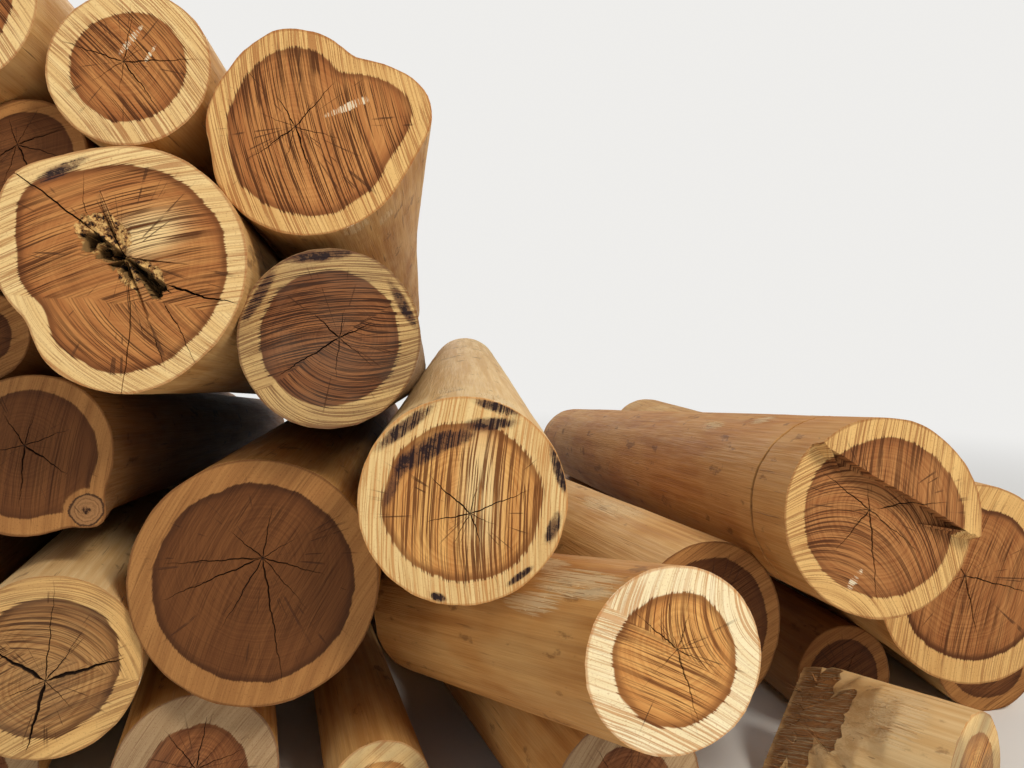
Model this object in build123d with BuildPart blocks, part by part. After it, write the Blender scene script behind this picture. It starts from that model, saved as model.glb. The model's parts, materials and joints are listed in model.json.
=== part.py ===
from build123d import *
import math
import os
from dataclasses import dataclass, field

# Stack of debarked saw logs, rolled together on level ground.
# x runs across the sawn faces to the right, y along the logs away from them, z up.
# The origin lies on the ground, under the middle of the stack's box.

# Sizes shared by all the logs, in millimetres and degrees
saw_length = 2400
crossing_length = 620
prop_length = 1450
offcut_length = 340
crossing_slant = 20
taper = 0.012
seat_gap = 0.3
outline_points = 60

# How far the rows lie turned from straight back, to the right
ground_skew = -16
second_skew = -14.5
upper_skew = -6

# How the bedding of a log is worked out
plank_stations = 48
first_roll = 8
last_roll = 1
bedding_passes = 30
probe_turn = 5
probe_turns = 12
least_upright = 0.3
still = 0.01


@dataclass
class Swell:
    """A bulge or hollow of a log's outline: where it is round the log, how wide and how high."""

    around: float
    width: float
    height: float
    reach: float


@dataclass
class Log:
    """One log: butt is its diameter at the sawn face, roll how far it may roll to bed.

    Slant is how far the sawn face is turned to the left of square.
    """

    name: str
    butt: float
    across: float
    back: float
    skew: float
    length: float = saw_length
    roll: float = 6
    slant: float = 0
    swells: list = field(default_factory=list)
    front: tuple = (0.0, 0.0, 0.0)
    rear: tuple = (0.0, 0.0, 0.0)

    def radius(self, share):
        """Radius at a share of the length, 0 at the butt and 1 at the top end."""
        return (self.butt - taper * self.length * share) / 2

    def reach(self, share, turn):
        """Distance from the middle line to the wood, at a share of the length and a turn round it."""
        out = self.radius(share)
        for swell in self.swells:
            aside = (turn - swell.around + 180) % 360 - 180
            left = max(0, 1 - share * self.length / swell.reach)
            out += swell.height * left * math.exp(-((aside / swell.width) ** 2))
        return out

    def at(self, share):
        """Point on the log's middle line at a share of its length."""
        return tuple(a + (b - a) * share for a, b in zip(self.front, self.rear))

    def place(self, x_front, x_rear, z_front, z_rear):
        """Put the middle line between two ends, keeping its length."""
        reach = math.sqrt(self.length**2 - (x_rear - x_front) ** 2 - (z_rear - z_front) ** 2)
        self.front = (x_front, self.back, z_front)
        self.rear = (x_rear, self.back + reach, z_rear)

    def direction(self):
        """Unit vector from the sawn face into the log."""
        return tuple((b - a) / self.length for a, b in zip(self.front, self.rear))

    def sides(self):
        """Unit vectors to the right and up, square to the middle line, seen from the front."""
        ux, uy, uz = self.direction()
        level = math.hypot(ux, uy)
        return (uy / level, -ux / level, 0), (-ux * uz / level, -uy * uz / level, level)


# The rows, from the ground up; diameters are taken at the sawn faces
ground_row = [
    Log("ground_log_left", butt=246, across=-485, back=60, skew=ground_skew, roll=0),
    Log("ground_log_thin", butt=160, across=-205.5, back=90, skew=ground_skew, roll=0),
    Log("ground_log_under_crossing", butt=242, across=170, back=0, skew=-20, roll=0),
    Log("ground_log_middle", butt=200, across=286, back=560, skew=-20, roll=0),
    Log("ground_log_right", butt=206, across=665, back=480, skew=-12, roll=0),
    Log("ground_log_far_right", butt=226, across=995, back=560, skew=upper_skew, roll=0),
    Log("hidden_ground_log_1", butt=240, across=-858, back=60, skew=-15, roll=0),
    Log("hidden_ground_log_2", butt=290, across=-1150, back=40, skew=-14, roll=0),
    Log("hidden_ground_log_3", butt=280, across=-1462, back=40, skew=-13.4, roll=0),
    Log("torn_offcut", butt=210, across=715, back=70, skew=-42, length=offcut_length, roll=0),
]
second_row = [
    Log("star_cracked_log", butt=262, across=-680, back=-20, skew=-15),
    Log(
        "crossing_log",
        butt=236,
        across=218,
        back=-150,
        skew=-36,
        length=crossing_length,
        slant=crossing_slant,
    ),
    Log("crossing_log_behind", butt=294, across=312, back=150, skew=-22, length=prop_length),
    Log("wide_log_right", butt=354, across=818, back=285, skew=-5),
    Log("step_cut_log", butt=296, across=545, back=0, skew=-7),
    Log("hidden_second_log_1", butt=290, across=-980, back=20, skew=second_skew, roll=20),
    Log("hidden_second_log_2", butt=290, across=-1297, back=20, skew=-13.5, roll=20),
]
upper_rows = [
    Log("big_brown_log", butt=366, across=-390, back=20, skew=upper_skew),
    Log("stained_log", butt=288, across=-58, back=-80, skew=-3, roll=10),
    Log(
        "knotted_log",
        butt=240,
        across=-730,
        back=30,
        skew=-8,
        swells=[Swell(around=315, width=11, height=30, reach=150)],
    ),
    Log("hidden_third_log", butt=300, across=-1040, back=20, skew=-9),
    Log("thin_dark_log", butt=140, across=-850, back=100, skew=-8, roll=40),
    Log("weathered_log", butt=258, across=-259, back=-30, skew=-5, roll=3),
    Log(
        "pear_log",
        butt=332,
        across=-533,
        back=-80,
        skew=upper_skew,
        roll=3,
        swells=[
            Swell(around=142, width=20, height=28, reach=120),
            Swell(around=212, width=16, height=-20, reach=700),
            Swell(around=275, width=28, height=12, reach=700),
        ],
    ),
]
top_rows = [
    Log("hidden_fourth_log", butt=340, across=-1020, back=20, skew=upper_skew, roll=20),
    Log("small_cracked_log", butt=184, across=-748, back=60, skew=-5, roll=8),
    Log(
        "lobed_log",
        butt=298,
        across=-305,
        back=0,
        skew=-5,
        swells=[
            Swell(around=17, width=24, height=37, reach=900),
            Swell(around=61, width=13, height=-14, reach=900),
            Swell(around=108, width=22, height=15, reach=900),
            Swell(around=190, width=15, height=-9, reach=900),
        ],
    ),
    Log("top_pale_log", butt=238, across=-575, back=20, skew=-4, roll=4),
    Log("top_left_log", butt=280, across=-835, back=0, skew=-4, roll=12),
]

# The step left where two saw cuts missed each other
step_depth = 24
step_offset = 45
step_turn = -31

# The shallow ring that a chain saw left on the same log
kerf_setback = 150
kerf_width = 9
kerf_depth = 4

# The rotted pocket in the heart of the pear-shaped log
pocket_length = 140
pocket_width = 26
pocket_depth = 55
pocket_turn = -37
pocket_flare = 8

# The slanting torn end of the offcut, which faces up and to the left
tear_angle = 63
tear_share = 0.3
tear_roll = 45


def dot(a, b):
    """Scalar product of two vectors."""
    return a[0] * b[0] + a[1] * b[1] + a[2] * b[2]


def could_touch(log, lower):
    """Whether two logs' middle lines come near enough, seen from above, for them to touch."""
    for share in (0, 0.25, 0.5, 0.75, 1):
        x, y, _ = log.at(share)
        along = (y - lower.front[1]) / (lower.rear[1] - lower.front[1])
        aside = abs(x - lower.at(min(1, max(0, along)))[0])
        if aside < log.butt + lower.butt:
            return True
    return False


def rest_height(x, y, radius, lower):
    """Height at which a ball over (x, y) would lie on a lower log, or None beside it."""
    fx, fy, fz = lower.front
    ux, uy, uz = lower.direction()
    share = 0.5
    height = None
    for _ in range(4):
        along = (x - fx) * ux + (y - fy) * uy
        apart = radius + lower.radius(share) + seat_gap
        a = 1 - uz * uz
        b = -2 * uz * along
        c = (x - fx) ** 2 + (y - fy) ** 2 - along * along - apart * apart
        inside = b * b - 4 * a * c
        if inside < 0:
            return None
        rise = (-b + math.sqrt(inside)) / (2 * a)
        height = fz + rise
        share = (along + rise * uz) / lower.length
    return height if 0 <= share <= 1 else None


def stations(log):
    """Shares of the length at which the log is tried."""
    return [step / plank_stations for step in range(plank_stations + 1)]


def plank_rest(log, x_front, x_rear, laid):
    """Heights of the two ends when the log lies like a plank on what is under it."""
    reach = math.sqrt(log.length**2 - (x_rear - x_front) ** 2)
    hull = []
    for share in stations(log):
        x = x_front + (x_rear - x_front) * share
        radius = log.radius(share)
        height = radius
        for lower in laid:
            over = rest_height(x, log.back + reach * share, radius, lower)
            height = max(height, over or height)
        while len(hull) > 1:
            (s1, h1), (s2, h2) = hull[-2:]
            if (h2 - h1) * (share - s1) > (height - h1) * (s2 - s1):
                break
            hull.pop()
        hull.append((share, height))
    for (s1, h1), (s2, h2) in zip(hull, hull[1:]):
        if s1 <= 0.5 <= s2:
            slope = (h2 - h1) / (s2 - s1)
            return h1 - slope * s1, h1 + slope * (1 - s1)


def probe(log, share, other, wide):
    """Least room between one station of a log and another log: room, share there, upright part."""
    centre = log.at(share)
    run = other.direction()
    right, up = log.sides()
    other_right, other_up = other.sides()
    apart = [a - f for a, f in zip(centre, other.front)]
    facing = math.atan2(
        -sum(a * b for a, b in zip(apart, up)) + dot(apart, run) * dot(run, up),
        -sum(a * b for a, b in zip(apart, right)) + dot(apart, run) * dot(run, right),
    )
    least = None
    for step in range(-probe_turns, probe_turns + 1) if wide else (0,):
        turn = facing + math.radians(probe_turn * step)
        out = log.reach(share, math.degrees(turn))
        point = [
            a + out * (math.cos(turn) * r + math.sin(turn) * v) for a, r, v in zip(apart, right, up)
        ]
        along = dot(point, run)
        where = along / other.length
        if not 0 <= where <= 1:
            continue
        across = dot(point, other_right)
        rise = dot(point, other_up)
        far = math.hypot(across, rise)
        room = far - other.reach(where, math.degrees(math.atan2(rise, across))) - seat_gap
        if least is None or room < least[0]:
            least = (room, where, (point[2] - along * run[2]) / far)
    return least


def contacts(log, laid):
    """Room, share and upright part wherever the log comes near the ground or a lower log."""
    found = []
    tried = stations(log)
    near = [lower for lower in laid if could_touch(log, lower)]
    for share in tried:
        found.append((log.at(share)[2] - log.reach(share, -90), share, 1))
        for lower in near:
            wide = bool(log.swells or lower.swells) or share in (tried[0], tried[-1])
            met = probe(log, share, lower, wide)
            if met:
                found.append((met[0], share, met[2]))
    for lower in near:
        for end in (0, -1):
            met = probe(lower, stations(lower)[end], log, True)
            if met:
                found.append((met[0], met[1], -met[2]))
    return found


def bed_exactly(log, laid):
    """Lift the log out of what it presses into, then let it down and tip it until both halves bear."""
    for _ in range(bedding_passes):
        room, share, upright = min(contacts(log, laid))
        if room > -still:
            break
        shift_ends(log, -room / max(least_upright, upright), 0, 0.5)
    for _ in range(bedding_passes):
        carried = [met for met in contacts(log, laid) if met[2] > 0]
        below = [(room / max(least_upright, up), share) for room, share, up in carried]
        bearing = [share for drop, share in below if drop < still]
        if not bearing:
            shift_ends(log, -min(below)[0], 0, 0.5)
            continue
        if min(bearing) <= 0.5 <= max(bearing):
            return
        pivot = max(bearing) if max(bearing) < 0.5 else min(bearing)
        side = 1 if pivot < 0.5 else -1
        free = [(drop / abs(share - pivot)) for drop, share in below if (share - pivot) * side > still]
        shift_ends(log, 0, -side * min(free), pivot)


def shift_ends(log, lift, tip, pivot):
    """Raise the log by a lift and tip it about a share of its length, as height per whole length."""
    (xf, _, zf), (xr, _, zr) = log.front, log.rear
    log.place(xf, xr, zf + lift - tip * pivot, zr + lift + tip * (1 - pivot))


def bed_down(log, laid):
    """Lay a log on those already laid, rolling each end a little towards the lowest place."""
    x_front = log.across
    x_rear = log.across + log.length * math.sin(math.radians(log.skew))
    home = (x_front, x_rear)
    best = home
    ends = plank_rest(log, *best, laid)
    step = first_roll if log.roll else 0
    while step >= last_roll:
        moved = False
        for shift in ((step, 0), (-step, 0), (0, step), (0, -step)):
            tried = (best[0] + shift[0], best[1] + shift[1])
            if max(abs(a - b) for a, b in zip(tried, home)) > log.roll:
                continue
            found = plank_rest(log, *tried, laid)
            if sum(found) < sum(ends) - still:
                best, ends, moved = tried, found, True
        step = step if moved else step / 2
    log.place(*best, *ends)
    if laid and log.roll:
        bed_exactly(log, laid)


def centre_box(logs):
    """Move the laid stack so that the middle of its box stands on the origin."""
    spans = [[], []]
    for log in logs:
        run = log.direction()
        right, up = log.sides()
        for end, share, slant in ((log.front, 0, log.slant), (log.rear, 1, 0)):
            lean = math.tan(math.radians(slant))
            for side in (0, 1):
                half = log.radius(share) * math.hypot(right[side] - lean * run[side], up[side])
                spans[side] += [end[side] - half, end[side] + half]
    mid = [(min(span) + max(span)) / 2 for span in spans]
    for log in logs:
        log.front = (log.front[0] - mid[0], log.front[1] - mid[1], log.front[2])
        log.rear = (log.rear[0] - mid[0], log.rear[1] - mid[1], log.rear[2])


def face_plane(log, turn=0):
    """Plane square to the log at its face: x to the right, or turned from there, z out of the wood."""
    right, up = (Vector(*side) for side in log.sides())
    x_dir = right * math.cos(math.radians(turn)) + up * math.sin(math.radians(turn))
    return Plane(origin=log.front, x_dir=x_dir, z_dir=-Vector(*log.direction()))


def lofted_stem(log):
    """The log itself: its outlines lofted from the butt, past its swellings, to the top end."""
    turns = [360 * step / outline_points for step in range(outline_points)]
    butt_end = -log.radius(0) * math.tan(math.radians(log.slant))
    with BuildPart() as stem:
        for depth in sorted({butt_end, log.length} | {swell.reach for swell in log.swells}):
            with BuildSketch(face_plane(log).offset(-depth)):
                with BuildLine():
                    rim = [(log.reach(depth / log.length, turn), turn) for turn in turns]
                    Polyline(*[Vector(out, 0).rotate(Axis.Z, turn) for out, turn in rim], close=True)
                make_face()
        loft(ruled=True)
    return stem


def cut_slant(stem, log):
    """Saw the face at its slant."""
    turn = math.radians(log.slant)
    inward, right = Vector(*log.direction()), Vector(*log.sides()[0])
    slanted = Plane(
        origin=log.front,
        x_dir=right * math.cos(turn) - inward * math.sin(turn),
        z_dir=-inward * math.cos(turn) - right * math.sin(turn),
    )
    with BuildPart() as slanting:
        add(stem.part)
        with BuildSketch(slanted):
            Rectangle(2 * log.butt, 2 * log.butt)
        extrude(amount=log.butt, mode=Mode.SUBTRACT)
    return slanting


def cut_step(stem, log):
    """Saw the larger part of the face back, so that a ledge stands proud above it."""
    across = 2 * log.butt
    with BuildPart() as stepped:
        add(stem.part)
        with BuildSketch(face_plane(log, step_turn).offset(-step_depth)):
            with Locations((0, step_offset - across / 2)):
                Rectangle(2 * across, across)
        extrude(amount=across, mode=Mode.SUBTRACT)
    return stepped


def cut_kerf(stem, log):
    """Cut the shallow saw ring into the log's side."""
    radius = log.radius(kerf_setback / log.length)
    with BuildPart() as ringed:
        add(stem.part)
        with BuildSketch(face_plane(log).offset(-kerf_setback)):
            Circle(radius + kerf_depth)
            Circle(radius - kerf_depth, mode=Mode.SUBTRACT)
        extrude(amount=-kerf_width, mode=Mode.SUBTRACT)
    return ringed


def cut_pocket(stem, log):
    """Open the rotted pocket in the heart."""
    with BuildPart() as hollowed:
        add(stem.part)
        with BuildSketch(face_plane(log)):
            SlotOverall(pocket_length, pocket_width, rotation=pocket_turn)
        extrude(amount=-pocket_depth, taper=pocket_flare, mode=Mode.SUBTRACT)
    return hollowed


def tear_end(stem, log):
    """Take the far end off at a slant, where the wood tore."""
    inward = Vector(*log.direction())
    outward = face_plane(log, 90 + tear_roll).x_dir
    start = log.length * tear_share
    shoulder = log.radius(tear_share)
    beyond = log.length + log.butt
    drop = (beyond - start) / math.tan(math.radians(tear_angle))
    with BuildPart() as torn:
        add(stem.part)
        with BuildSketch(Plane(origin=log.front, x_dir=outward, z_dir=outward.cross(inward))):
            with BuildLine():
                Polyline(
                    (shoulder, start),
                    (shoulder - drop, beyond),
                    (log.butt, beyond),
                    (log.butt, start),
                    close=True,
                )
            make_face()
        extrude(amount=log.butt, both=True, mode=Mode.SUBTRACT)
    return torn


# Lay the logs from the ground up
stack = ground_row + second_row + upper_rows + top_rows
for number, log in enumerate(stack):
    bed_down(log, stack[:number])
centre_box(stack)

# Cut the logs and write them out
os.makedirs("parts", exist_ok=True)
for log in stack:
    stem = lofted_stem(log)
    if log.slant:
        stem = cut_slant(stem, log)
    if log.name == "step_cut_log":
        stem = cut_kerf(cut_step(stem, log), log)
    if log.name == "pear_log":
        stem = cut_pocket(stem, log)
    if log.name == "torn_offcut":
        stem = tear_end(stem, log)
    stem.part.label = log.name
    export_step(stem.part, f"parts/{log.name}.step")
    print(log.name, [round(v) for v in log.front], [round(v) for v in log.rear], stem.part.is_valid)
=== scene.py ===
"""Looks of the stack of logs: cracked sawn faces, debarked sides, splinters, floor, light and camera.

Every log follows its solid in the frame. Sizes are in metres, and turns of a face are in degrees,
counted from the right, against the clock, as seen from in front of the face.
"""

import json
import logging
import math
from dataclasses import dataclass
from enum import Enum
from typing import Any

import bpy
import numpy as np
from mathutils import Euler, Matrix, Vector, noise
from mathutils.bvhtree import BVHTree


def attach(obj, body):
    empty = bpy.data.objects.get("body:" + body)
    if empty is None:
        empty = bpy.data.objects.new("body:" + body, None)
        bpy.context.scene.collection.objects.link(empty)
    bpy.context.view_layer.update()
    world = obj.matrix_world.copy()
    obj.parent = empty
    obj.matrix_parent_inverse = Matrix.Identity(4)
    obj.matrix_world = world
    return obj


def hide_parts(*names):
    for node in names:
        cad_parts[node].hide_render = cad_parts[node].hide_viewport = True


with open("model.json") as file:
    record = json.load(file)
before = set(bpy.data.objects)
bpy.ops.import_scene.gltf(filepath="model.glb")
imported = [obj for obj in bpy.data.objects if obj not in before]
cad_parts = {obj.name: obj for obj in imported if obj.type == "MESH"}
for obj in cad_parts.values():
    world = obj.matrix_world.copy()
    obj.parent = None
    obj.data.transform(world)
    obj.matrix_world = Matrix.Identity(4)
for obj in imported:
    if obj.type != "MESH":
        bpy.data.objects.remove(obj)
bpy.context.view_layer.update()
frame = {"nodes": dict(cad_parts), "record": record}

LOG = logging.getLogger("stack_of_logs")
MM = 0.001
Colour = tuple[float, float, float]
Socket = bpy.types.NodeSocket
Rings = dict[str, np.ndarray]
SPECULAR = 0.15

# Colours of the marks on the wood, with painted sunlight and painted shade among them
# Painted sunlight: a pale gold that stands in for a pool of sun on a sawn face
PAINTED_SUNLIGHT = (0.84, 0.60, 0.28)
WEATHERED = (0.15, 0.115, 0.08)
STAIN_EDGE = (0.11, 0.042, 0.022)
STAIN_CORE = (0.015, 0.008, 0.010)
KNOT_LIGHT = (0.34, 0.17, 0.066)
KNOT_DARK = (0.20, 0.088, 0.032)
KNOT_EYE = (0.028, 0.010, 0.005)
FACE_TORN = (0.86, 0.74, 0.52)
SIDE_TORN = (0.80, 0.62, 0.36)
HAIRLINE = (0.06, 0.022, 0.008)
# Painted shade: the dark laid into the deep drying cracks, on top of their real depth
CRACK_SHADE = (0.018, 0.008, 0.004)
CRUMB_BROWN = (0.26, 0.115, 0.036)
CRUMB_PALE = (0.68, 0.42, 0.15)
# Painted shade in the gaps between the crumbs
CRUMB_GAP_SHADE = (0.012, 0.006, 0.004)
# Painted shade: the near black inside the open hollow of a rotted pocket
POCKET_SHADE = (0.010, 0.005, 0.003)
POCKET_PALE = (0.44, 0.25, 0.09)
RIPPED_BROWN = (0.44, 0.21, 0.072)
RIPPED_DARK = (0.085, 0.034, 0.013)

# Marks that a mesh carries from its pith to its rim
SURFACE = ("hollow", "stain", "fray", "glow", "rot", "knot", "ripped")


class Detail(Enum):
    """How finely a log is meshed: free columns, rings of the front face, stations along, rear rings."""

    CLOSE = (108, 46, 44, 14)
    PLAIN = (64, 18, 30, 8)
    TORN = (150, 30, 44, 60)


class Mark(Enum):
    """What a patch of a sawn face or of a side is, and the attribute that carries it."""

    STAIN = "stain"
    FRAY = "fray"
    # A pool of painted sunlight on a sawn face, carried by the attribute glow
    GLOW = "glow"
    ROT = "rot"
    KNOT = "knot"


@dataclass(frozen=True)
class Crack:
    """A drying crack of a sawn face.

    Args:
        path: turn and distance from the pith of each point, from the inner end outwards.
        width: its width where it is widest.
        depth: how deep it goes into the wood.
    """

    path: tuple[tuple[float, float], ...]
    width: float = 3.2 * MM
    depth: float = 16 * MM

    def turn_at(self, out: np.ndarray, seed: int) -> np.ndarray:
        """Turn of the crack in radians at distances from the pith, with its small meanders.

        Args:
            out: distances from the pith.
            seed: number that sets the meanders.

        Returns:
            The turns in radians.
        """
        turns = np.unwrap(np.radians([turn for turn, _ in self.path]))
        turns -= 2 * math.pi * math.floor(turns[-1] / (2 * math.pi))
        base = np.interp(out, [far for _, far in self.path], turns)
        wave = np.sin(out * 130 + seed) + 0.6 * np.sin(out * 340 + 2.1 * seed)
        wave += 0.4 * np.sin(out * 800 + seed)
        return base + wave * 0.8 * MM / np.maximum(out, 12 * MM)

    def opening(self, out: np.ndarray) -> np.ndarray:
        """How open the crack is at distances from the pith, from 0 to 1.

        Args:
            out: distances from the pith.

        Returns:
            The share of the full width.
        """
        start = self.path[0][1] if len(self.path) > 1 else 0.0
        share = np.clip((out - start) / (self.path[-1][1] - start), 0, 1)
        inner = np.clip(share / 0.15 + (0.35 if len(self.path) == 1 else 0), 0, 1)
        return inner * (1 - share) ** 0.6


@dataclass(frozen=True)
class Patch:
    """An oval patch on a sawn face, one of: a stain, torn pale fibres, a knot, rot, a painted pool of
    sunlight.

    Args:
        mark: what it is.
        across: its middle, to the right of the face's middle.
        above: its middle, above the face's middle.
        length: half its length.
        width: half its width.
        turn: how its length lies.
    """

    mark: Mark
    across: float
    above: float
    length: float
    width: float
    turn: float = 0.0

    def cover(self, x: np.ndarray, y: np.ndarray) -> np.ndarray:
        """How strongly the patch covers points of the face.

        Args:
            x: places to the right of the face's middle.
            y: places above it.

        Returns:
            The cover, from 0 to 1.
        """
        c, s = math.cos(math.radians(self.turn)), math.sin(math.radians(self.turn))
        u = ((x - self.across) * c + (y - self.above) * s) / self.length
        v = ((y - self.above) * c - (x - self.across) * s) / self.width
        return np.exp(-((u * u + v * v) ** 1.5))


class Sheet:
    """Adds nodes to a tree, sets their inputs and links them."""

    def __init__(self, tree: bpy.types.NodeTree) -> None:
        """Keep the tree."""
        self.tree = tree

    def add(self, kind: str, inputs: dict[Any, Any] | None = None, **settings: Any) -> bpy.types.Node:
        """Add a node.

        Args:
            kind: Blender's type of the node.
            inputs: a value or a socket for each named or numbered input.
            settings: properties of the node.

        Returns:
            The node.
        """
        node = self.tree.nodes.new(kind)
        for name, value in settings.items():
            setattr(node, name, value)
        for key, value in (inputs or {}).items():
            if isinstance(value, Socket):
                self.tree.links.new(value, node.inputs[key])
            else:
                node.inputs[key].default_value = value
        return node

    def math(self, how: str, a: Any, b: Any = 0.0, clamp: bool = False) -> Socket:
        """A sum, product or the like of two values.

        Args:
            how: Blender's name of the operation.
            a: first value or socket.
            b: second value or socket.
            clamp: whether the result is kept between 0 and 1.

        Returns:
            The result's socket.
        """
        return self.add("ShaderNodeMath", {0: a, 1: b}, operation=how, use_clamp=clamp).outputs[0]

    def vector(self, how: str, a: Any, b: Any = (0.0, 0.0, 0.0)) -> Socket:
        """A sum, product or the like of two vectors.

        Args:
            how: Blender's name of the operation.
            a: first vector or socket.
            b: second vector or socket.

        Returns:
            The result's socket.
        """
        return self.add("ShaderNodeVectorMath", {0: a, 1: b}, operation=how).outputs[0]

    def times(self, a: Any, b: Any, clamp: bool = False) -> Socket:
        """The product of two values."""
        return self.math("MULTIPLY", a, b, clamp)

    def plus(self, a: Any, b: Any, clamp: bool = False) -> Socket:
        """The sum of two values."""
        return self.math("ADD", a, b, clamp)

    def minus(self, a: Any, b: Any) -> Socket:
        """The difference of two values."""
        return self.math("SUBTRACT", a, b)

    def number(self, how: str, a: Any, b: Any = (0.0, 0.0, 0.0)) -> Socket:
        """The number that a vector operation gives, such as a length."""
        return self.add("ShaderNodeVectorMath", {0: a, 1: b}, operation=how).outputs["Value"]

    def scaled(self, vector: Any, size: Any) -> Socket:
        """A vector times a value."""
        return self.add("ShaderNodeVectorMath", {0: vector, "Scale": size}, operation="SCALE").outputs[0]

    def combine(self, x: Any = 0.0, y: Any = 0.0, z: Any = 0.0) -> Socket:
        """A vector from three values."""
        return self.add("ShaderNodeCombineXYZ", {0: x, 1: y, 2: z}).outputs[0]

    def noise(self, vector: Any, scale: float, detail: float = 2.0, rough: float = 0.5) -> Socket:
        """Cloudy noise, mostly from 0.3 to 0.7.

        Args:
            vector: socket of the place.
            scale: patches per metre.
            detail: finer layers.
            rough: strength of the finer layers.

        Returns:
            The noise's socket.
        """
        inputs = {"Vector": vector, "Scale": scale, "Detail": detail, "Roughness": rough}
        return self.add("ShaderNodeTexNoise", inputs).outputs[0]

    def step(self, value: Any, low: Any, high: Any) -> Socket:
        """A mask that eases from 0 to 1 as a value goes from low to high.

        Args:
            value: the socket read.
            low: where the mask is 0.
            high: where the mask is 1.

        Returns:
            The mask's socket.
        """
        inputs = {"Value": value, "From Min": low, "From Max": high}
        return self.add("ShaderNodeMapRange", inputs, interpolation_type="SMOOTHSTEP").outputs[0]

    def mix(self, mask: Any, a: Any, b: Any) -> Socket:
        """A colour between two.

        Args:
            mask: share of the second.
            a: first colour or socket.
            b: second colour or socket.

        Returns:
            The colour's socket.
        """
        a, b = (value if isinstance(value, Socket) else (*value, 1.0) for value in (a, b))
        return self.add("ShaderNodeMix", {0: mask, 6: a, 7: b}, data_type="RGBA").outputs[2]

    def attribute(self, name: str) -> Socket:
        """Value of a mesh attribute."""
        return self.add("ShaderNodeAttribute", attribute_name=name).outputs["Fac"]


def new_group(
    name: str, inputs: dict[str, str], outputs: dict[str, str], kind: str = "Shader"
) -> tuple[Sheet, Any, Any]:
    """Start a node group.

    Args:
        name: its name.
        inputs: name and kind of each input.
        outputs: name and kind of each output.
        kind: whether it is a shader or a geometry tree.

    Returns:
        The sheet of its tree, the sockets of its inputs and those of its outputs.
    """
    tree = bpy.data.node_groups.new(name, f"{kind}NodeTree")
    for way, sockets in (("INPUT", inputs), ("OUTPUT", outputs)):
        for socket, sort in sockets.items():
            tree.interface.new_socket(name=socket, in_out=way, socket_type=f"NodeSocket{sort}")
    sheet = Sheet(tree)
    return sheet, sheet.add("NodeGroupInput").outputs, sheet.add("NodeGroupOutput").inputs


def new_material(name: str) -> tuple[bpy.types.Material, Sheet, bpy.types.Node]:
    """Start a material.

    Args:
        name: its name.

    Returns:
        The material, the sheet of its tree and its shader.
    """
    material = bpy.data.materials.new(name)
    material.use_nodes = True
    return material, Sheet(material.node_tree), material.node_tree.nodes["Principled BSDF"]


def place_group(sheet: Sheet, tree: bpy.types.NodeTree, place: Socket) -> bpy.types.Node:
    """Put a shared group into a material.

    Args:
        sheet: the material's sheet.
        tree: the group.
        place: socket of the place on the wood.

    Returns:
        The group's node.
    """
    return sheet.add("ShaderNodeGroup", {"Place": place}, node_tree=tree)


def coat(sheet: Sheet, shader: bpy.types.Node, **looks: Socket) -> None:
    """Link the looks of a wooden surface to its shader.

    Args:
        sheet: the material's sheet.
        shader: its shader.
        looks: sockets of the colour, the roughness and the normal.
    """
    for name, key in (("Base Color", "colour"), ("Roughness", "rough"), ("Normal", "normal")):
        sheet.tree.links.new(looks[key], shader.inputs[name])
    shader.inputs["Specular IOR Level"].default_value = SPECULAR


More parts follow.
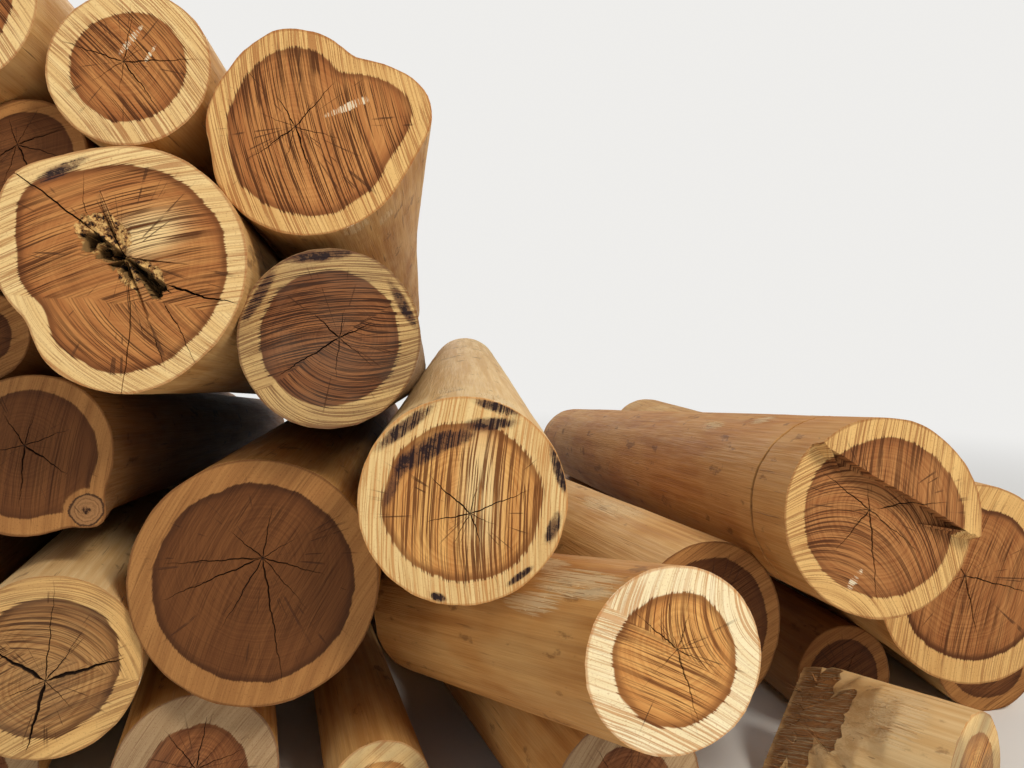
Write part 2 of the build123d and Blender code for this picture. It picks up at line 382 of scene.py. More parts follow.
class Effects:
    """The shader node groups that several finishes share."""

    def __init__(self) -> None:
        """Build the groups."""
        self.saw_marks = self.build_saw_marks()
        self.year_rings = self.build_year_rings()
        self.checks = self.build_checks()
        self.fibres = self.build_fibres()

    def build_saw_marks(self) -> bpy.types.NodeTree:
        """Scratches that the saw chain left, in slightly bowed lines.

        Returns:
            The group: crisp lines, rare gouges, broad bands and how strongly each place is scratched.
        """
        sheet, given, out = new_group(
            "saw_marks",
            {"Place": "Vector", "Turn": "Float", "Bow": "Float"},
            {"Lines": "Float", "Gouges": "Float", "Bands": "Float", "Scored": "Float"},
        )
        turned = sheet.add(
            "ShaderNodeVectorRotate",
            {"Vector": given["Place"], "Angle": given["Turn"]},
            rotation_type="Z_AXIS",
        ).outputs[0]
        parts = sheet.add("ShaderNodeSeparateXYZ", {0: turned}).outputs
        bow = sheet.times(sheet.times(parts[0], parts[0]), given["Bow"])
        wobble = sheet.times(sheet.minus(sheet.noise(turned, 8.0), 0.5), 0.007)
        row = sheet.plus(sheet.plus(parts[1], bow), wobble)
        for name, fine, along, detail, low, high in (
            ("Lines", 430.0, 6.0, 2.0, 0.50, 0.57),
            ("Gouges", 210.0, 4.0, 2.0, 0.58, 0.65),
            ("Bands", 75.0, 3.5, 3.0, 0.34, 0.66),
        ):
            place = sheet.combine(sheet.times(parts[0], along), sheet.times(row, fine), parts[2])
            sheet.tree.links.new(sheet.step(sheet.noise(place, 1.0, detail, 0.6), low, high), out[name])
        sheet.tree.links.new(sheet.step(sheet.noise(turned, 12.0, 2.0), 0.38, 0.60), out["Scored"])
        return sheet.tree

    def build_year_rings(self) -> bpy.types.NodeTree:
        """Uneven year rings round the pith.

        Returns:
            The group: one mask.
        """
        sheet, given, out = new_group("year_rings", {"Place": "Vector"}, {"Rings": "Float"})
        flat = sheet.vector("MULTIPLY", given["Place"], (1.0, 1.0, 0.0))
        far = sheet.number("LENGTH", flat)
        wander = sheet.times(sheet.minus(sheet.noise(given["Place"], 16.0), 0.5), 0.016)
        lift = sheet.add("ShaderNodeSeparateXYZ", {0: given["Place"]}).outputs[2]
        place = sheet.combine(sheet.plus(far, wander), z=lift)
        sheet.tree.links.new(sheet.step(sheet.noise(place, 230.0, 2.0, 0.6), 0.38, 0.62), out["Rings"])
        return sheet.tree

    def build_checks(self) -> bpy.types.NodeTree:
        """Hairline cracks that run out from the pith.

        Returns:
            The group: one mask.
        """
        sheet, given, out = new_group("hairline_checks", {"Place": "Vector"}, {"Checks": "Float"})
        spoke = sheet.vector("NORMALIZE", sheet.vector("MULTIPLY", given["Place"], (1.0, 1.0, 0.0)))
        bent = sheet.vector("ADD", spoke, sheet.vector("MULTIPLY", given["Place"], (0.35, 0.35, 1.0)))
        thin = sheet.step(sheet.noise(bent, 17.0, 1.0), 0.655, 0.70)
        broken = sheet.step(sheet.noise(given["Place"], 34.0, 1.0), 0.42, 0.56)
        sheet.tree.links.new(sheet.times(thin, broken), out["Checks"])
        return sheet.tree

    def build_fibres(self) -> bpy.types.NodeTree:
        """Long fibres, tears and blotches of a debarked side.

        Returns:
            The group: fine fibres, long streaks, rare dark tears, broad blotches and small smudges.
        """
        sheet, given, out = new_group(
            "side_fibres",
            {"Place": "Vector"},
            {name: "Float" for name in ("Fibres", "Streaks", "Tears", "Blotches", "Smudges")},
        )
        for name, scale, detail, low, high in (
            ("Fibres", (420.0, 420.0, 9.0), 3.0, 0.34, 0.66),
            ("Streaks", (60.0, 60.0, 2.2), 3.0, 0.36, 0.64),
            ("Tears", (150.0, 150.0, 5.0), 2.0, 0.66, 0.74),
            ("Blotches", (9.0, 9.0, 3.6), 3.0, 0.38, 0.62),
            ("Smudges", (26.0, 26.0, 13.0), 5.0, 0.60, 0.68),
        ):
            place = sheet.vector("MULTIPLY", given["Place"], scale)
            sheet.tree.links.new(sheet.step(sheet.noise(place, 1.0, detail, 0.6), low, high), out[name])
        return sheet.tree


@dataclass(frozen=True)
class SecondCut:
    """The part of a sawn face where the saw came from another way.

    Args:
        turn: how its marks lie, in degrees.
        bow: how strongly they are bowed.
        facing: the way in which that part lies from the pith, in degrees.
        start: where it begins.
    """

    turn: float
    bow: float
    facing: float
    start: float = 0.0


@dataclass(frozen=True)
class SawnFinish:
    """Finish of a sawn face: heart, sapwood, saw marks, rings, stains and cracks, with painted shade in the
    cracks and the rotted pocket and painted pools of sunlight.

    Args:
        name: name of the material.
        heart: light, middle and dark colour of the heartwood.
        sap: light and dark colour of the sapwood.
        sap_width: width of the sapwood.
        saw_turn: how the saw marks lie, in degrees.
        saw: strength of the saw marks.
        bow: how strongly the saw marks are bowed.
        rings: strength of the year rings.
        edge_band: strength of a dark band at the edge of the heart.
        grey: share of weathering.
        second: the part cut from another way, if any.
    """

    name: str
    heart: tuple[Colour, Colour, Colour]
    sap: tuple[Colour, Colour]
    sap_width: float
    saw_turn: float
    saw: float = 0.8
    bow: float = 0.6
    rings: float = 0.35
    edge_band: float = 0.25
    grey: float = 0.0
    second: SecondCut | None = None

    def build(self, effects: Effects) -> bpy.types.Material:
        """Make the material.

        Args:
            effects: the shared node groups.

        Returns:
            The material.
        """
        material, sheet, shader = new_material(self.name)
        flat = sheet.add("ShaderNodeUVMap", uv_map="wood").outputs[0]
        place = sheet.vector("ADD", flat, sheet.combine(z=sheet.attribute("shift")))
        cuts = self.cut_marks(sheet, effects, place)
        lines = cuts[0]
        knot = sheet.attribute("knot")
        rings = place_group(sheet, effects.year_rings, place).outputs[0]
        colour, inward, scratch = self.colour_wood(sheet, place, cuts, rings, knot)
        colour = self.colour_stains(sheet, place, colour, lines, knot)
        torn = sheet.step(sheet.times(sheet.attribute("fray"), sheet.plus(lines, 0.35)), 0.25, 0.6)
        colour = sheet.mix(sheet.times(torn, 0.85), colour, FACE_TORN)
        checks = place_group(sheet, effects.checks, place).outputs[0]
        hairline = sheet.times(checks, sheet.step(inward, 0.3 * self.sap_width, 1.4 * self.sap_width))
        colour = sheet.mix(sheet.times(hairline, 0.7), colour, HAIRLINE)
        # Painted shade in the cracks: the deeper the crack, the darker its floor
        colour = sheet.mix(sheet.step(sheet.attribute("crack"), 0.12, 0.6), colour, CRACK_SHADE)
        colour = self.colour_rot(sheet, place, colour)
        height = sheet.minus(sheet.times(torn, 0.8), sheet.times(scratch, 0.7))
        height = sheet.minus(height, sheet.times(hairline, 1.6))
        height = sheet.plus(height, sheet.times(sheet.noise(place, 700.0, 2.0), 0.35))
        bump = sheet.add("ShaderNodeBump", {"Strength": 0.8, "Distance": 0.6 * MM, "Height": height})
        rough = sheet.plus(0.66, sheet.times(scratch, 0.16))
        coat(sheet, shader, colour=colour, rough=rough, normal=bump.outputs[0])
        return material

    def colour_wood(
        self,
        sheet: Sheet,
        place: Socket,
        cuts: list[Socket],
        rings: Socket,
        knot: Socket,
    ) -> tuple[Socket, Socket, Socket]:
        """Heart and sapwood with their saw marks, rings, weathering and painted pools of sunlight.

        Args:
            sheet: the material's sheet.
            place: the place on the wood.
            cuts: the saw marks.
            rings: the year rings.
            knot: how near the knot is.

        Returns:
            Sockets of the colour, of the distance from the rim and of the scratches.
        """
        lines, gouges, bands, scored = cuts
        rim = sheet.attribute("rim")
        uneven = sheet.minus(sheet.noise(place, 19.0, 3.0), 0.5)
        inward = sheet.plus(rim, sheet.times(uneven, 0.45 * self.sap_width))
        inward = sheet.plus(inward, sheet.times(sheet.minus(lines, 0.5), 2.6 * MM * self.saw))
        in_heart = sheet.step(inward, self.sap_width - 1.2 * MM, self.sap_width + 1.6 * MM)
        in_heart = sheet.times(in_heart, sheet.step(knot, 0.14, 0.06))

        scratch = sheet.times(lines, sheet.plus(sheet.times(scored, 0.6), 0.55))
        scratch = sheet.plus(scratch, sheet.times(gouges, sheet.plus(scored, 0.25)))
        scratch = sheet.times(scratch, self.saw, True)
        tone = sheet.plus(sheet.times(bands, 0.6), sheet.times(rings, self.rings), True)
        heart = sheet.mix(tone, self.heart[0], self.heart[1])
        deep = sheet.step(inward, self.sap_width + 34 * MM, self.sap_width)
        cloudy = sheet.step(sheet.noise(place, 8.0, 2.0), 0.36, 0.62)
        heart = sheet.mix(sheet.times(sheet.times(deep, cloudy), 0.8), heart, self.heart[1])
        # Painted sunlight: the glow patches lighten the heart, but not inside the gouges
        glow = sheet.times(sheet.attribute("glow"), sheet.minus(1.0, gouges))
        heart = sheet.mix(glow, heart, PAINTED_SUNLIGHT)
        heart = sheet.mix(sheet.times(scratch, 0.92), heart, self.heart[2])
        specks = sheet.step(sheet.noise(place, 330.0, 2.0, 0.7), 0.56, 0.70)
        sap = sheet.mix(sheet.times(bands, 0.55), self.sap[0], self.sap[1])
        sap = sheet.mix(sheet.times(scratch, 0.68), sap, self.heart[1])
        sap = sheet.mix(sheet.times(specks, 0.4), sap, self.heart[1])
        colour = sheet.mix(in_heart, sap, heart)

        band = sheet.minus(in_heart, sheet.step(inward, self.sap_width + 3 * MM, self.sap_width + 13 * MM))
        colour = sheet.mix(sheet.times(band, self.edge_band), colour, self.heart[2])
        skin = sheet.minus(1.0, sheet.step(rim, 0.8 * MM, 3.4 * MM))
        colour = sheet.mix(sheet.times(skin, 0.6), colour, self.heart[1])
        dull = sheet.times(sheet.step(sheet.noise(place, 11.0, 3.0), 0.35, 0.65), self.grey)
        return sheet.mix(dull, colour, WEATHERED), inward, scratch

    @staticmethod
    def colour_stains(
        sheet: Sheet,
        place: Socket,
        colour: Socket,
        lines: Socket,
        knot: Socket,
    ) -> Socket:
        """Lay the dark stains and the ringed knot over the wood.

        Args:
            sheet: the material's sheet.
            place: the place on the wood.
            colour: the wood's colour.
            lines: the saw lines, in which a stain soaks further.
            knot: how near the knot is.

        Returns:
            Socket of the new colour.
        """
        cover = sheet.attribute("stain")
        cloud = sheet.minus(sheet.times(sheet.noise(place, 34.0, 6.0, 0.8), 1.9), 0.30)
        halo = sheet.step(sheet.times(cover, cloud), 0.10, 0.50)
        colour = sheet.mix(sheet.times(halo, 0.85), colour, STAIN_EDGE)
        soaked = sheet.plus(sheet.plus(cloud, sheet.times(lines, 0.45)), -0.22)
        core = sheet.step(sheet.times(cover, soaked), 0.34, 0.52)
        colour = sheet.mix(sheet.times(core, 0.94), colour, STAIN_CORE)
        knot = sheet.plus(knot, sheet.times(sheet.minus(cloud, 0.6), 0.30))
        ringed = sheet.step(sheet.noise(sheet.combine(knot), 8.0, 3.0), 0.40, 0.62)
        burl = sheet.mix(ringed, KNOT_LIGHT, KNOT_DARK)
        colour = sheet.mix(sheet.step(knot, 0.36, 0.40), colour, burl)
        edge = sheet.times(sheet.step(knot, 0.33, 0.39), sheet.step(knot, 0.54, 0.44))
        eye = sheet.step(knot, 1.01, 1.06)
        return sheet.mix(sheet.math("MAXIMUM", sheet.times(edge, 0.85), eye), colour, KNOT_EYE)

    @staticmethod
    def colour_rot(sheet: Sheet, place: Socket, colour: Socket) -> Socket:
        """Lay crumbs, with painted shade in the gaps between them, and the painted shade of a rotted pocket's
        open hollow over the wood.

        Args:
            sheet: the material's sheet.
            place: the place on the wood.
            colour: the wood's colour.

        Returns:
            Socket of the new colour.
        """
        grit = sheet.noise(place, 120.0, 4.0, 0.7)
        crumb = sheet.step(grit, 0.42, 0.46)
        crumbs = sheet.mix(sheet.step(grit, 0.46, 0.58), CRUMB_BROWN, CRUMB_PALE)
        # The gaps between the crumbs get painted shade
        crumbs = sheet.mix(crumb, CRUMB_GAP_SHADE, crumbs)
        uneven = sheet.plus(sheet.noise(place, 90.0, 3.0, 0.7), 0.25)
        rotten = sheet.times(sheet.attribute("rot"), uneven)
        colour = sheet.mix(sheet.step(rotten, 0.30, 0.36), colour, crumbs)
        # Painted shade in the open hollow of the pocket, with a few pale crumbs
        shaded_pocket = sheet.mix(sheet.times(crumb, 0.5), POCKET_SHADE, POCKET_PALE)
        return sheet.mix(sheet.step(sheet.attribute("hollow"), 0.05, 0.3), colour, shaded_pocket)

    def cut_marks(self, sheet: Sheet, effects: Effects, place: Socket) -> list[Socket]:
        """Saw marks of the whole face, of one cut or of two.

        Args:
            sheet: the material's sheet.
            effects: the shared node groups.
            place: socket of the place on the wood.

        Returns:
            Sockets of the lines, gouges, bands and how strongly each place is scratched.
        """
        cuts = []
        for cut in filter(None, (self, self.second)):
            node = place_group(sheet, effects.saw_marks, place)
            node.inputs["Turn"].default_value = math.radians(-(cut.saw_turn if cut is self else cut.turn))
            node.inputs["Bow"].default_value = cut.bow
            cuts.append(list(node.outputs))
        if len(cuts) == 1:
            return cuts[0]
        facing = math.radians(self.second.facing)
        way = (math.cos(facing), math.sin(facing), 0.0)
        uneven = sheet.times(sheet.minus(sheet.noise(place, 14.0), 0.5), 0.03)
        far = sheet.plus(sheet.number("DOT_PRODUCT", place, way), uneven)
        there = sheet.step(far, self.second.start - 2 * MM, self.second.start + 2 * MM)
        blends = [{0: there, 2: one, 3: other} for one, other in zip(*cuts)]
        return [sheet.add("ShaderNodeMix", blend, data_type="FLOAT").outputs[0] for blend in blends]


@dataclass(frozen=True)
class SideFinish:
    """Finish of a debarked side.

    Args:
        name: name of the material.
        light: colour of the clean fibres.
        middle: colour of the streaks.
        dark: colour of tears and dirt.
        blotch: colour of the broad blotches.
        blotched: share of the blotches.
    """

    name: str
    light: Colour
    middle: Colour
    dark: Colour
    blotch: Colour
    blotched: float = 0.5

    def build(self, effects: Effects) -> bpy.types.Material:
        """Make the material.

        Args:
            effects: the shared node groups.

        Returns:
            The material.
        """
        material, sheet, shader = new_material(self.name)
        place = sheet.add("ShaderNodeAttribute", attribute_name="grain").outputs["Vector"]
        fibres, streaks, tears, blotches, smudges = place_group(sheet, effects.fibres, place).outputs
        colour = sheet.mix(streaks, self.light, self.middle)
        colour = sheet.mix(sheet.times(blotches, self.blotched), colour, self.blotch)
        colour = sheet.mix(sheet.times(fibres, 0.28), colour, self.middle)
        colour = sheet.mix(sheet.times(sheet.math("MAXIMUM", tears, smudges), 0.55), colour, self.dark)
        ripped = sheet.attribute("ripped")
        deep = sheet.math("MAXIMUM", sheet.times(fibres, 0.7), tears)
        colour = sheet.mix(ripped, colour, sheet.mix(deep, RIPPED_BROWN, RIPPED_DARK))
        torn = sheet.step(sheet.times(sheet.attribute("fray"), sheet.plus(fibres, 0.3)), 0.4, 0.75)
        colour = sheet.mix(sheet.times(torn, 0.55), colour, SIDE_TORN)
        # Painted shade: the crack attribute darkens the groove of the saw ring
        colour = sheet.mix(sheet.times(sheet.attribute("crack"), 0.8), colour, HAIRLINE)
        height = sheet.plus(sheet.times(fibres, 0.5), sheet.times(streaks, 0.7))
        height = sheet.minus(height, sheet.times(tears, 1.2))
        height = sheet.plus(height, sheet.times(sheet.plus(torn, ripped), fibres))
        bump = sheet.add("ShaderNodeBump", {"Strength": 0.7, "Distance": 0.8 * MM, "Height": height})
        rough = sheet.plus(0.55, sheet.times(fibres, 0.2))
        coat(sheet, shader, colour=colour, rough=rough, normal=bump.outputs[0])
        return material


class Stem:
    """The solid of one log in the frame: its middle line, its ends and its surface.

    AROUND is the number of turns looked at, SQUARE how nearly a face points along the log to be part of
    an end, RUN_UP how far outside an end a look at it starts, and LEAST_REACH the share of the middle
    reach under which a look has missed the side.
    """

    AROUND = 120
    SQUARE = 0.97
    RUN_UP = 0.5
    LEAST_REACH = 0.45

    def __init__(self, node: str) -> None:
        """Read the node's mesh.

        Args:
            node: name of the node.
        """
        mesh = frame["nodes"][node].data
        mesh.calc_loop_triangles()
        spots = np.empty(len(mesh.vertices) * 3)
        mesh.vertices.foreach_get("co", spots)
        spots = spots.reshape(-1, 3)
        tris = np.empty(len(mesh.loop_triangles) * 3, dtype=np.int32)
        mesh.loop_triangles.foreach_get("vertices", tris)
        tris = tris.reshape(-1, 3)
        self.tree = BVHTree.FromPolygons([Vector(p) for p in spots], tris.tolist())
        corners = spots[tris]
        crosses = np.cross(corners[:, 1] - corners[:, 0], corners[:, 2] - corners[:, 0]) / 2
        areas = np.linalg.norm(crosses, axis=1)
        normals = crosses / np.maximum(areas, 1e-12)[:, None]
        centred = spots - spots.mean(0)
        run = np.linalg.svd(centred, full_matrices=False)[2][0]
        run = run if run[1] > 0 else -run
        ends = (normals @ run < -self.SQUARE, normals @ run > self.SQUARE)
        caps = [crosses[chosen].sum(0) for chosen in ends]
        square = max((-caps[0], caps[1]), key=np.linalg.norm)
        self.run = square / np.linalg.norm(square)
        self.right = np.array([self.run[1], -self.run[0], 0.0])
        self.right /= np.linalg.norm(self.right)
        self.up = np.cross(self.right, self.run)
        best = None
        for chosen in ends:
            if not chosen.any():
                continue
            weight = areas[chosen]
            middle = (corners[chosen].mean(1) * weight[:, None]).sum(0) / weight.sum()
            reach = np.linalg.norm(corners[chosen].reshape(-1, 3) - middle, axis=1).max()
            round_share = weight.sum() / (math.pi * reach * reach)
            if best is None or round_share > best[0]:
                best = (round_share, middle)
        along = spots @ self.run
        self.length = along.max() - along.min()
        self.front = best[1] + self.run * (along.min() - best[1] @ self.run)
        self.reach_max = np.linalg.norm(np.cross(spots - self.front, self.run), axis=1).max()

    def spot(self, x: Any, y: Any, depth: Any) -> np.ndarray:
        """Places in the frame.

        Args:
            x: to the right of the middle line.
            y: above it.
            depth: behind the sawn face.

        Returns:
            One row for each place.
        """
        x, y, depth = (np.atleast_1d(value)[..., None] for value in (x, y, depth))
        return self.front + x * self.right + y * self.up + depth * self.run

    def reaches(self, pith: tuple[float, float], depth: float) -> np.ndarray:
        """Distance from the pith to the side, all round, at one depth.

        Args:
            pith: the pith's place across the face.
            depth: how far behind the sawn face.

        Returns:
            The distances for evenly spread turns, and nan where there is no wood.
        """
        far = 2 * self.reach_max
        middle = Vector(self.spot(pith[0], pith[1], depth)[0])
        out = np.full(self.AROUND, np.nan)
        for k in range(self.AROUND):
            turn = 2 * math.pi * k / self.AROUND
            way = Vector(math.cos(turn) * self.right + math.sin(turn) * self.up)
            hit = self.tree.ray_cast(middle + way * far, -way, far * 1.2)
            if hit[0] is not None:
                out[k] = far - hit[3]
        out[out < self.LEAST_REACH * np.nanmedian(out)] = np.nan
        return out

    def depths(self, x: np.ndarray, y: np.ndarray, from_front: bool) -> np.ndarray:
        """Depth of the end surface under places of the face.

        Args:
            x: to the right of the middle line.
            y: above it.
            from_front: whether it is the front end, else the rear.

        Returns:
            The depths, and nan where the ray missed.
        """
        start = -self.RUN_UP if from_front else self.length + self.RUN_UP
        way = Vector(self.run if from_front else -self.run)
        out = np.full(len(x), np.nan)
        for k, place in enumerate(self.spot(x, y, start)):
            hit = self.tree.ray_cast(Vector(place), way, self.RUN_UP + self.length)
            if hit[0] is not None:
                out[k] = start + hit[3] * (1 if from_front else -1)
        return out


def fill_gaps(rows: np.ndarray) -> np.ndarray:
    """Fill missing reaches of a table from the nearest depth that has them.

    Args:
        rows: one row of reaches for each depth.

    Returns:
        The filled table.
    """
    filled = rows.copy()
    for order in (range(1, len(rows)), range(len(rows) - 2, -1, -1)):
        for k in order:
            source = filled[k - 1] if order.step > 0 else filled[k + 1]
            missing = np.isnan(filled[k])
            filled[k][missing] = source[missing]
    return filled


@dataclass
class DebarkedLog:
    """One log: a debarked side between two sawn or torn faces.

    Args:
        node: the node that it stands for.
        sawn: finish of its faces.
        side: name of its side's finish.
        pith: place of the pith, to the right of and above the face's middle.
        cracks: cracks of the sawn face.
        patches: stains and torn fibres of the sawn face.
        detail: how finely it is meshed.
        ragged: how far the edges of pockets and tears wander.
        rotted: whether a deep hollow in the face is rotten.
        swirl: depth of the side's flutes.
        frayed_side: length and place of torn fibres on the side, as (turn, depth, half width, half length).
        seed: number that sets everything random.
        edge: least width of the chips along the rim.
        kerf_depth: how far behind the face a shallow saw ring lies, or 0 where there is none.
        ripped: whether the rear end is torn off along the fibres.
    """

    node: str
    sawn: str
    side: str
    pith: tuple[float, float] = (0.0, 0.0)
    cracks: tuple[Crack, ...] = ()
    patches: tuple[Patch, ...] = ()
    detail: Detail = Detail.CLOSE
    ragged: float = 0.0
    rotted: bool = False
    swirl: float = 2.2 * MM
    frayed_side: tuple[tuple[float, float, float, float], ...] = ()
    seed: int = 1
    edge: float = 0.8 * MM
    kerf_depth: float = 0.0
    ripped: bool = False

    # A crack's section, as shares of its half width and of its depth there, and the least turn between two
    LATERAL = np.array([-1.0, -0.45, 0.0, 0.45, 1.0])
    BOTTOM = np.array([0.0, 0.8, 1.0, 0.8, 0.0])
    LEAST_GAP = math.radians(3)

    # The edge of a step or a pocket: the least jump that counts, and the share of the rings inside it
    LEAST_JUMP = 8 * MM
    EDGE_SHARE = 0.44
    EDGE_TRIES = 90
    EDGE_HALF = 0.3 * MM
    BESIDE = 2 * MM
    INSIDE = 0.985

    # The shallow saw ring: millimetres behind its front edge, and where painted shade darkens its groove
    KERF_RINGS = (-0.6, 0.6, 8.4, 9.6)
    KERF_LEVELS = (-0.3, 0.3, 8.7, 9.3)
    KERF_MIDDLE = 4.5 * MM
    KERF_SHADE_REACH = 4.6 * MM
    KERF_SHADE = 0.75

    # Depths at which the side is looked at, and how many a long log and one shorter than SHORT have
    RIM_DEPTH = 0.4 * MM
    FIRST_DEPTHS = (30 * MM, 90 * MM)
    LEVELS_LONG = 14
    LEVELS_SHORT = 8
    SHORT = 0.5

    def __post_init__(self) -> None:
        """Sort the cracks by their turn and share out the columns between them."""
        self.cracks = tuple(sorted(self.cracks, key=lambda crack: crack.path[-1][0] % 360))
        free = self.detail.value[0]
        turns = [crack.path[-1][0] % 360 for crack in self.cracks]
        gaps = [(b - a) % 360 or 360 for a, b in zip(turns, turns[1:] + turns[:1])]
        self.shares = [max(2, round(free * gap / 360)) for gap in gaps]

    def columns(self, out: np.ndarray) -> tuple[np.ndarray, np.ndarray]:
        """Turns of all columns at some distances from the pith, and how deep the cracks are there.

        Args:
            out: distances from the pith.

        Returns:
            Turns in radians and crack depths, one row for each distance.
        """
        if not self.cracks:
            count = self.detail.value[0]
            turns = np.tile(np.arange(count) * 2 * math.pi / count, (len(out), 1))
            return turns, np.zeros_like(turns)
        middles = [crack.turn_at(out, self.seed + 3 * k) for k, crack in enumerate(self.cracks)]
        middles = np.stack(middles, 1)
        for k in range(1, middles.shape[1]):
            middles[:, k] = np.maximum(middles[:, k], middles[:, k - 1] + self.LEAST_GAP)
        gaps = np.diff(np.concatenate([middles, middles[:, :1] + 2 * math.pi], 1), axis=1)
        tight = np.minimum(gaps, np.roll(gaps, 1, axis=1))
        turns, depths, halves = [], [], []
        for k, crack in enumerate(self.cracks):
            half = np.maximum(crack.opening(out) * crack.width, 0.25 * MM) / 2 / np.maximum(out, 1 * MM)
            halves.append(np.minimum(half, 0.28 * tight[:, k]))
        for k, crack in enumerate(self.cracks):
            after = (k + 1) % len(self.cracks)
            turns.append(middles[:, k : k + 1] + halves[k][:, None] * self.LATERAL)
            open_share = np.sqrt(crack.opening(out))
            depths.append(crack.depth * open_share[:, None] * self.BOTTOM)
            start = middles[:, k] + halves[k]
            span = gaps[:, k] - halves[k] - halves[after]
            steps = np.arange(1, self.shares[k]) / self.shares[k]
            turns.append(start[:, None] + span[:, None] * steps)
            depths.append(np.zeros((len(out), len(steps))))
        return np.concatenate(turns, 1), np.concatenate(depths, 1)

    def reach_at(self, table: np.ndarray, turns: np.ndarray) -> np.ndarray:
        """Distance from the pith to the side at some turns.

        Args:
            table: distances for evenly spread turns.
            turns: the turns in radians.

        Returns:
            The distances.
        """
        around = np.arange(Stem.AROUND + 1) * 2 * math.pi / Stem.AROUND
        return np.interp(np.mod(turns, 2 * math.pi), around, np.append(table, table[0]))

    def wave(self, x: np.ndarray, y: np.ndarray, scale: float, shift: float) -> np.ndarray:
        """Soft noise over a face.

        Args:
            x: places to the right.
            y: places above.
            scale: waves per metre.
            shift: number that sets the noise.

        Returns:
            The noise, about -1 to 1.
        """
        return np.array([noise.noise((a * scale, b * scale, shift)) for a, b in zip(x, y)])

    def chips(self, turns: np.ndarray) -> np.ndarray:
        """How much of the rim is chipped off at some turns.

        Args:
            turns: the turns in radians.

        Returns:
            Width of the chips.
        """
        x, y = np.cos(turns), np.sin(turns)
        rough = self.wave(x, y, 4.5, self.seed) + 0.7 * self.wave(x, y, 13, self.seed + 0.5)
        return self.edge * (0.7 + 2.6 * np.clip(rough, 0, 1))

    def follow_edge(
        self, stem: Stem, turns: np.ndarray, reach: np.ndarray, shares: np.ndarray
    ) -> tuple[np.ndarray, np.ndarray]:
        """Put two rings along the edge of a step or a pocket, so that it stays crisp.

        Args:
            stem: the log's solid.
            turns: turns of all rings and columns.
            reach: distances from the pith to the side.
            shares: share of the reach of each ring.

        Returns:
            Distances from the pith, and those at which the solid is looked at.
        """
        last = turns[-1]
        tries = np.linspace(0.01, self.INSIDE, self.EDGE_TRIES)[:, None] * reach[-1]
        x = self.pith[0] + tries * np.cos(last)
        y = self.pith[1] + tries * np.sin(last)
        deep = stem.depths(x.ravel(), y.ravel(), True).reshape(tries.shape)
        jump = np.abs(np.diff(np.nan_to_num(deep), axis=0)) > self.LEAST_JUMP
        out, look = shares[:, None] * reach, shares[:, None] * reach * self.INSIDE
        split = int(len(shares) * self.EDGE_SHARE)
        half, beside = self.EDGE_HALF, self.BESIDE
        for col in np.flatnonzero(jump.any(0)):
            row = int(np.argmax(jump[:, col]))
            true = (tries[row, col] + tries[row + 1, col]) / 2
            c, s = math.cos(last[col]), math.sin(last[col])
            wander = noise.noise((6 * c, 6 * s, 3.1)) + 0.7 * noise.noise((17 * c, 17 * s, 7.7))
            edge = min(true + self.ragged * wander, reach[-1, col] - 6 * MM)
            edge = max(edge, 4 * MM)
            inner = shares[: split + 1] / shares[split]
            outer = (shares[split + 1 :] - shares[split + 1]) / (1 - shares[split + 1])
            out[: split + 1, col] = inner * (edge - half)
            look[: split + 1, col] = inner * (true - beside)
            out[split + 1 :, col] = edge + half + outer * (reach[split + 1 :, col] - edge - half)
            room = self.INSIDE * reach[split + 1 :, col] - true - beside
            look[split + 1 :, col] = true + beside + outer * room
        return out, look

    def cover(self, mark: Mark, x: np.ndarray, y: np.ndarray) -> np.ndarray:
        """How strongly the patches of one kind cover places of the face."""
        return sum((patch.cover(x, y) for patch in self.patches if patch.mark is mark), np.zeros_like(x))

    def roughen(
        self, x: np.ndarray, y: np.ndarray, depth: np.ndarray, plane: float
    ) -> tuple[np.ndarray, np.ndarray, np.ndarray, np.ndarray]:
        """Give an end its unevenness, its crumbled wood and its torn strips.

        Args:
            x: places to the right of the middle line.
            y: places above it.
            depth: depth of the solid's end there.
            plane: depth of the sawn plane, which is 0 for the front end.

        Returns:
            The new depths, and how far each place is hollow, heaped with crumbs and torn.
        """
        front = plane == 0
        inward = 1 if front else -1
        sunk = (depth - plane) * inward
        nothing = np.zeros_like(depth)
        hollow = np.clip((sunk - 2 * MM) / (14 * MM), 0, 1) if self.rotted and front else nothing
        torn = nothing if front else np.clip((sunk - 2 * MM) / (10 * MM), 0, 1)
        uneven = 0.5 + 0.5 * self.wave(x, y, 14, self.seed) + 0.25 * self.wave(x, y, 60, self.seed + 5.0)
        depth = depth + inward * 0.9 * MM * np.clip(uneven, 0, 1.5)
        rough = self.wave(x, y, 130, 2.0) + 0.6 * self.wave(x, y, 300, 6.0)
        heaps = 0.45 + 1.1 * self.wave(x, y, 55, 11.0) + 0.7 * self.wave(x, y, 140, 12.0)
        heaps = np.clip(heaps, 0, 1)
        depth = depth - inward * hollow * heaps * 0.85 * np.maximum(sunk - 4 * MM, 0)
        rotten = np.clip(1.6 * self.cover(Mark.ROT, x, y), 0, 1)
        crumbly = np.maximum(hollow, rotten if front else 0.0)
        depth = depth + inward * crumbly * (5 * MM * rough + 3 * MM)
        strips = self.wave(x, 0.15 * y, 120, 9.0) + 0.5 * self.wave(x, 0.1 * y, 330, 1.0)
        depth = depth + inward * torn * 7 * MM * (0.4 + strips)
        return depth, hollow, heaps, torn

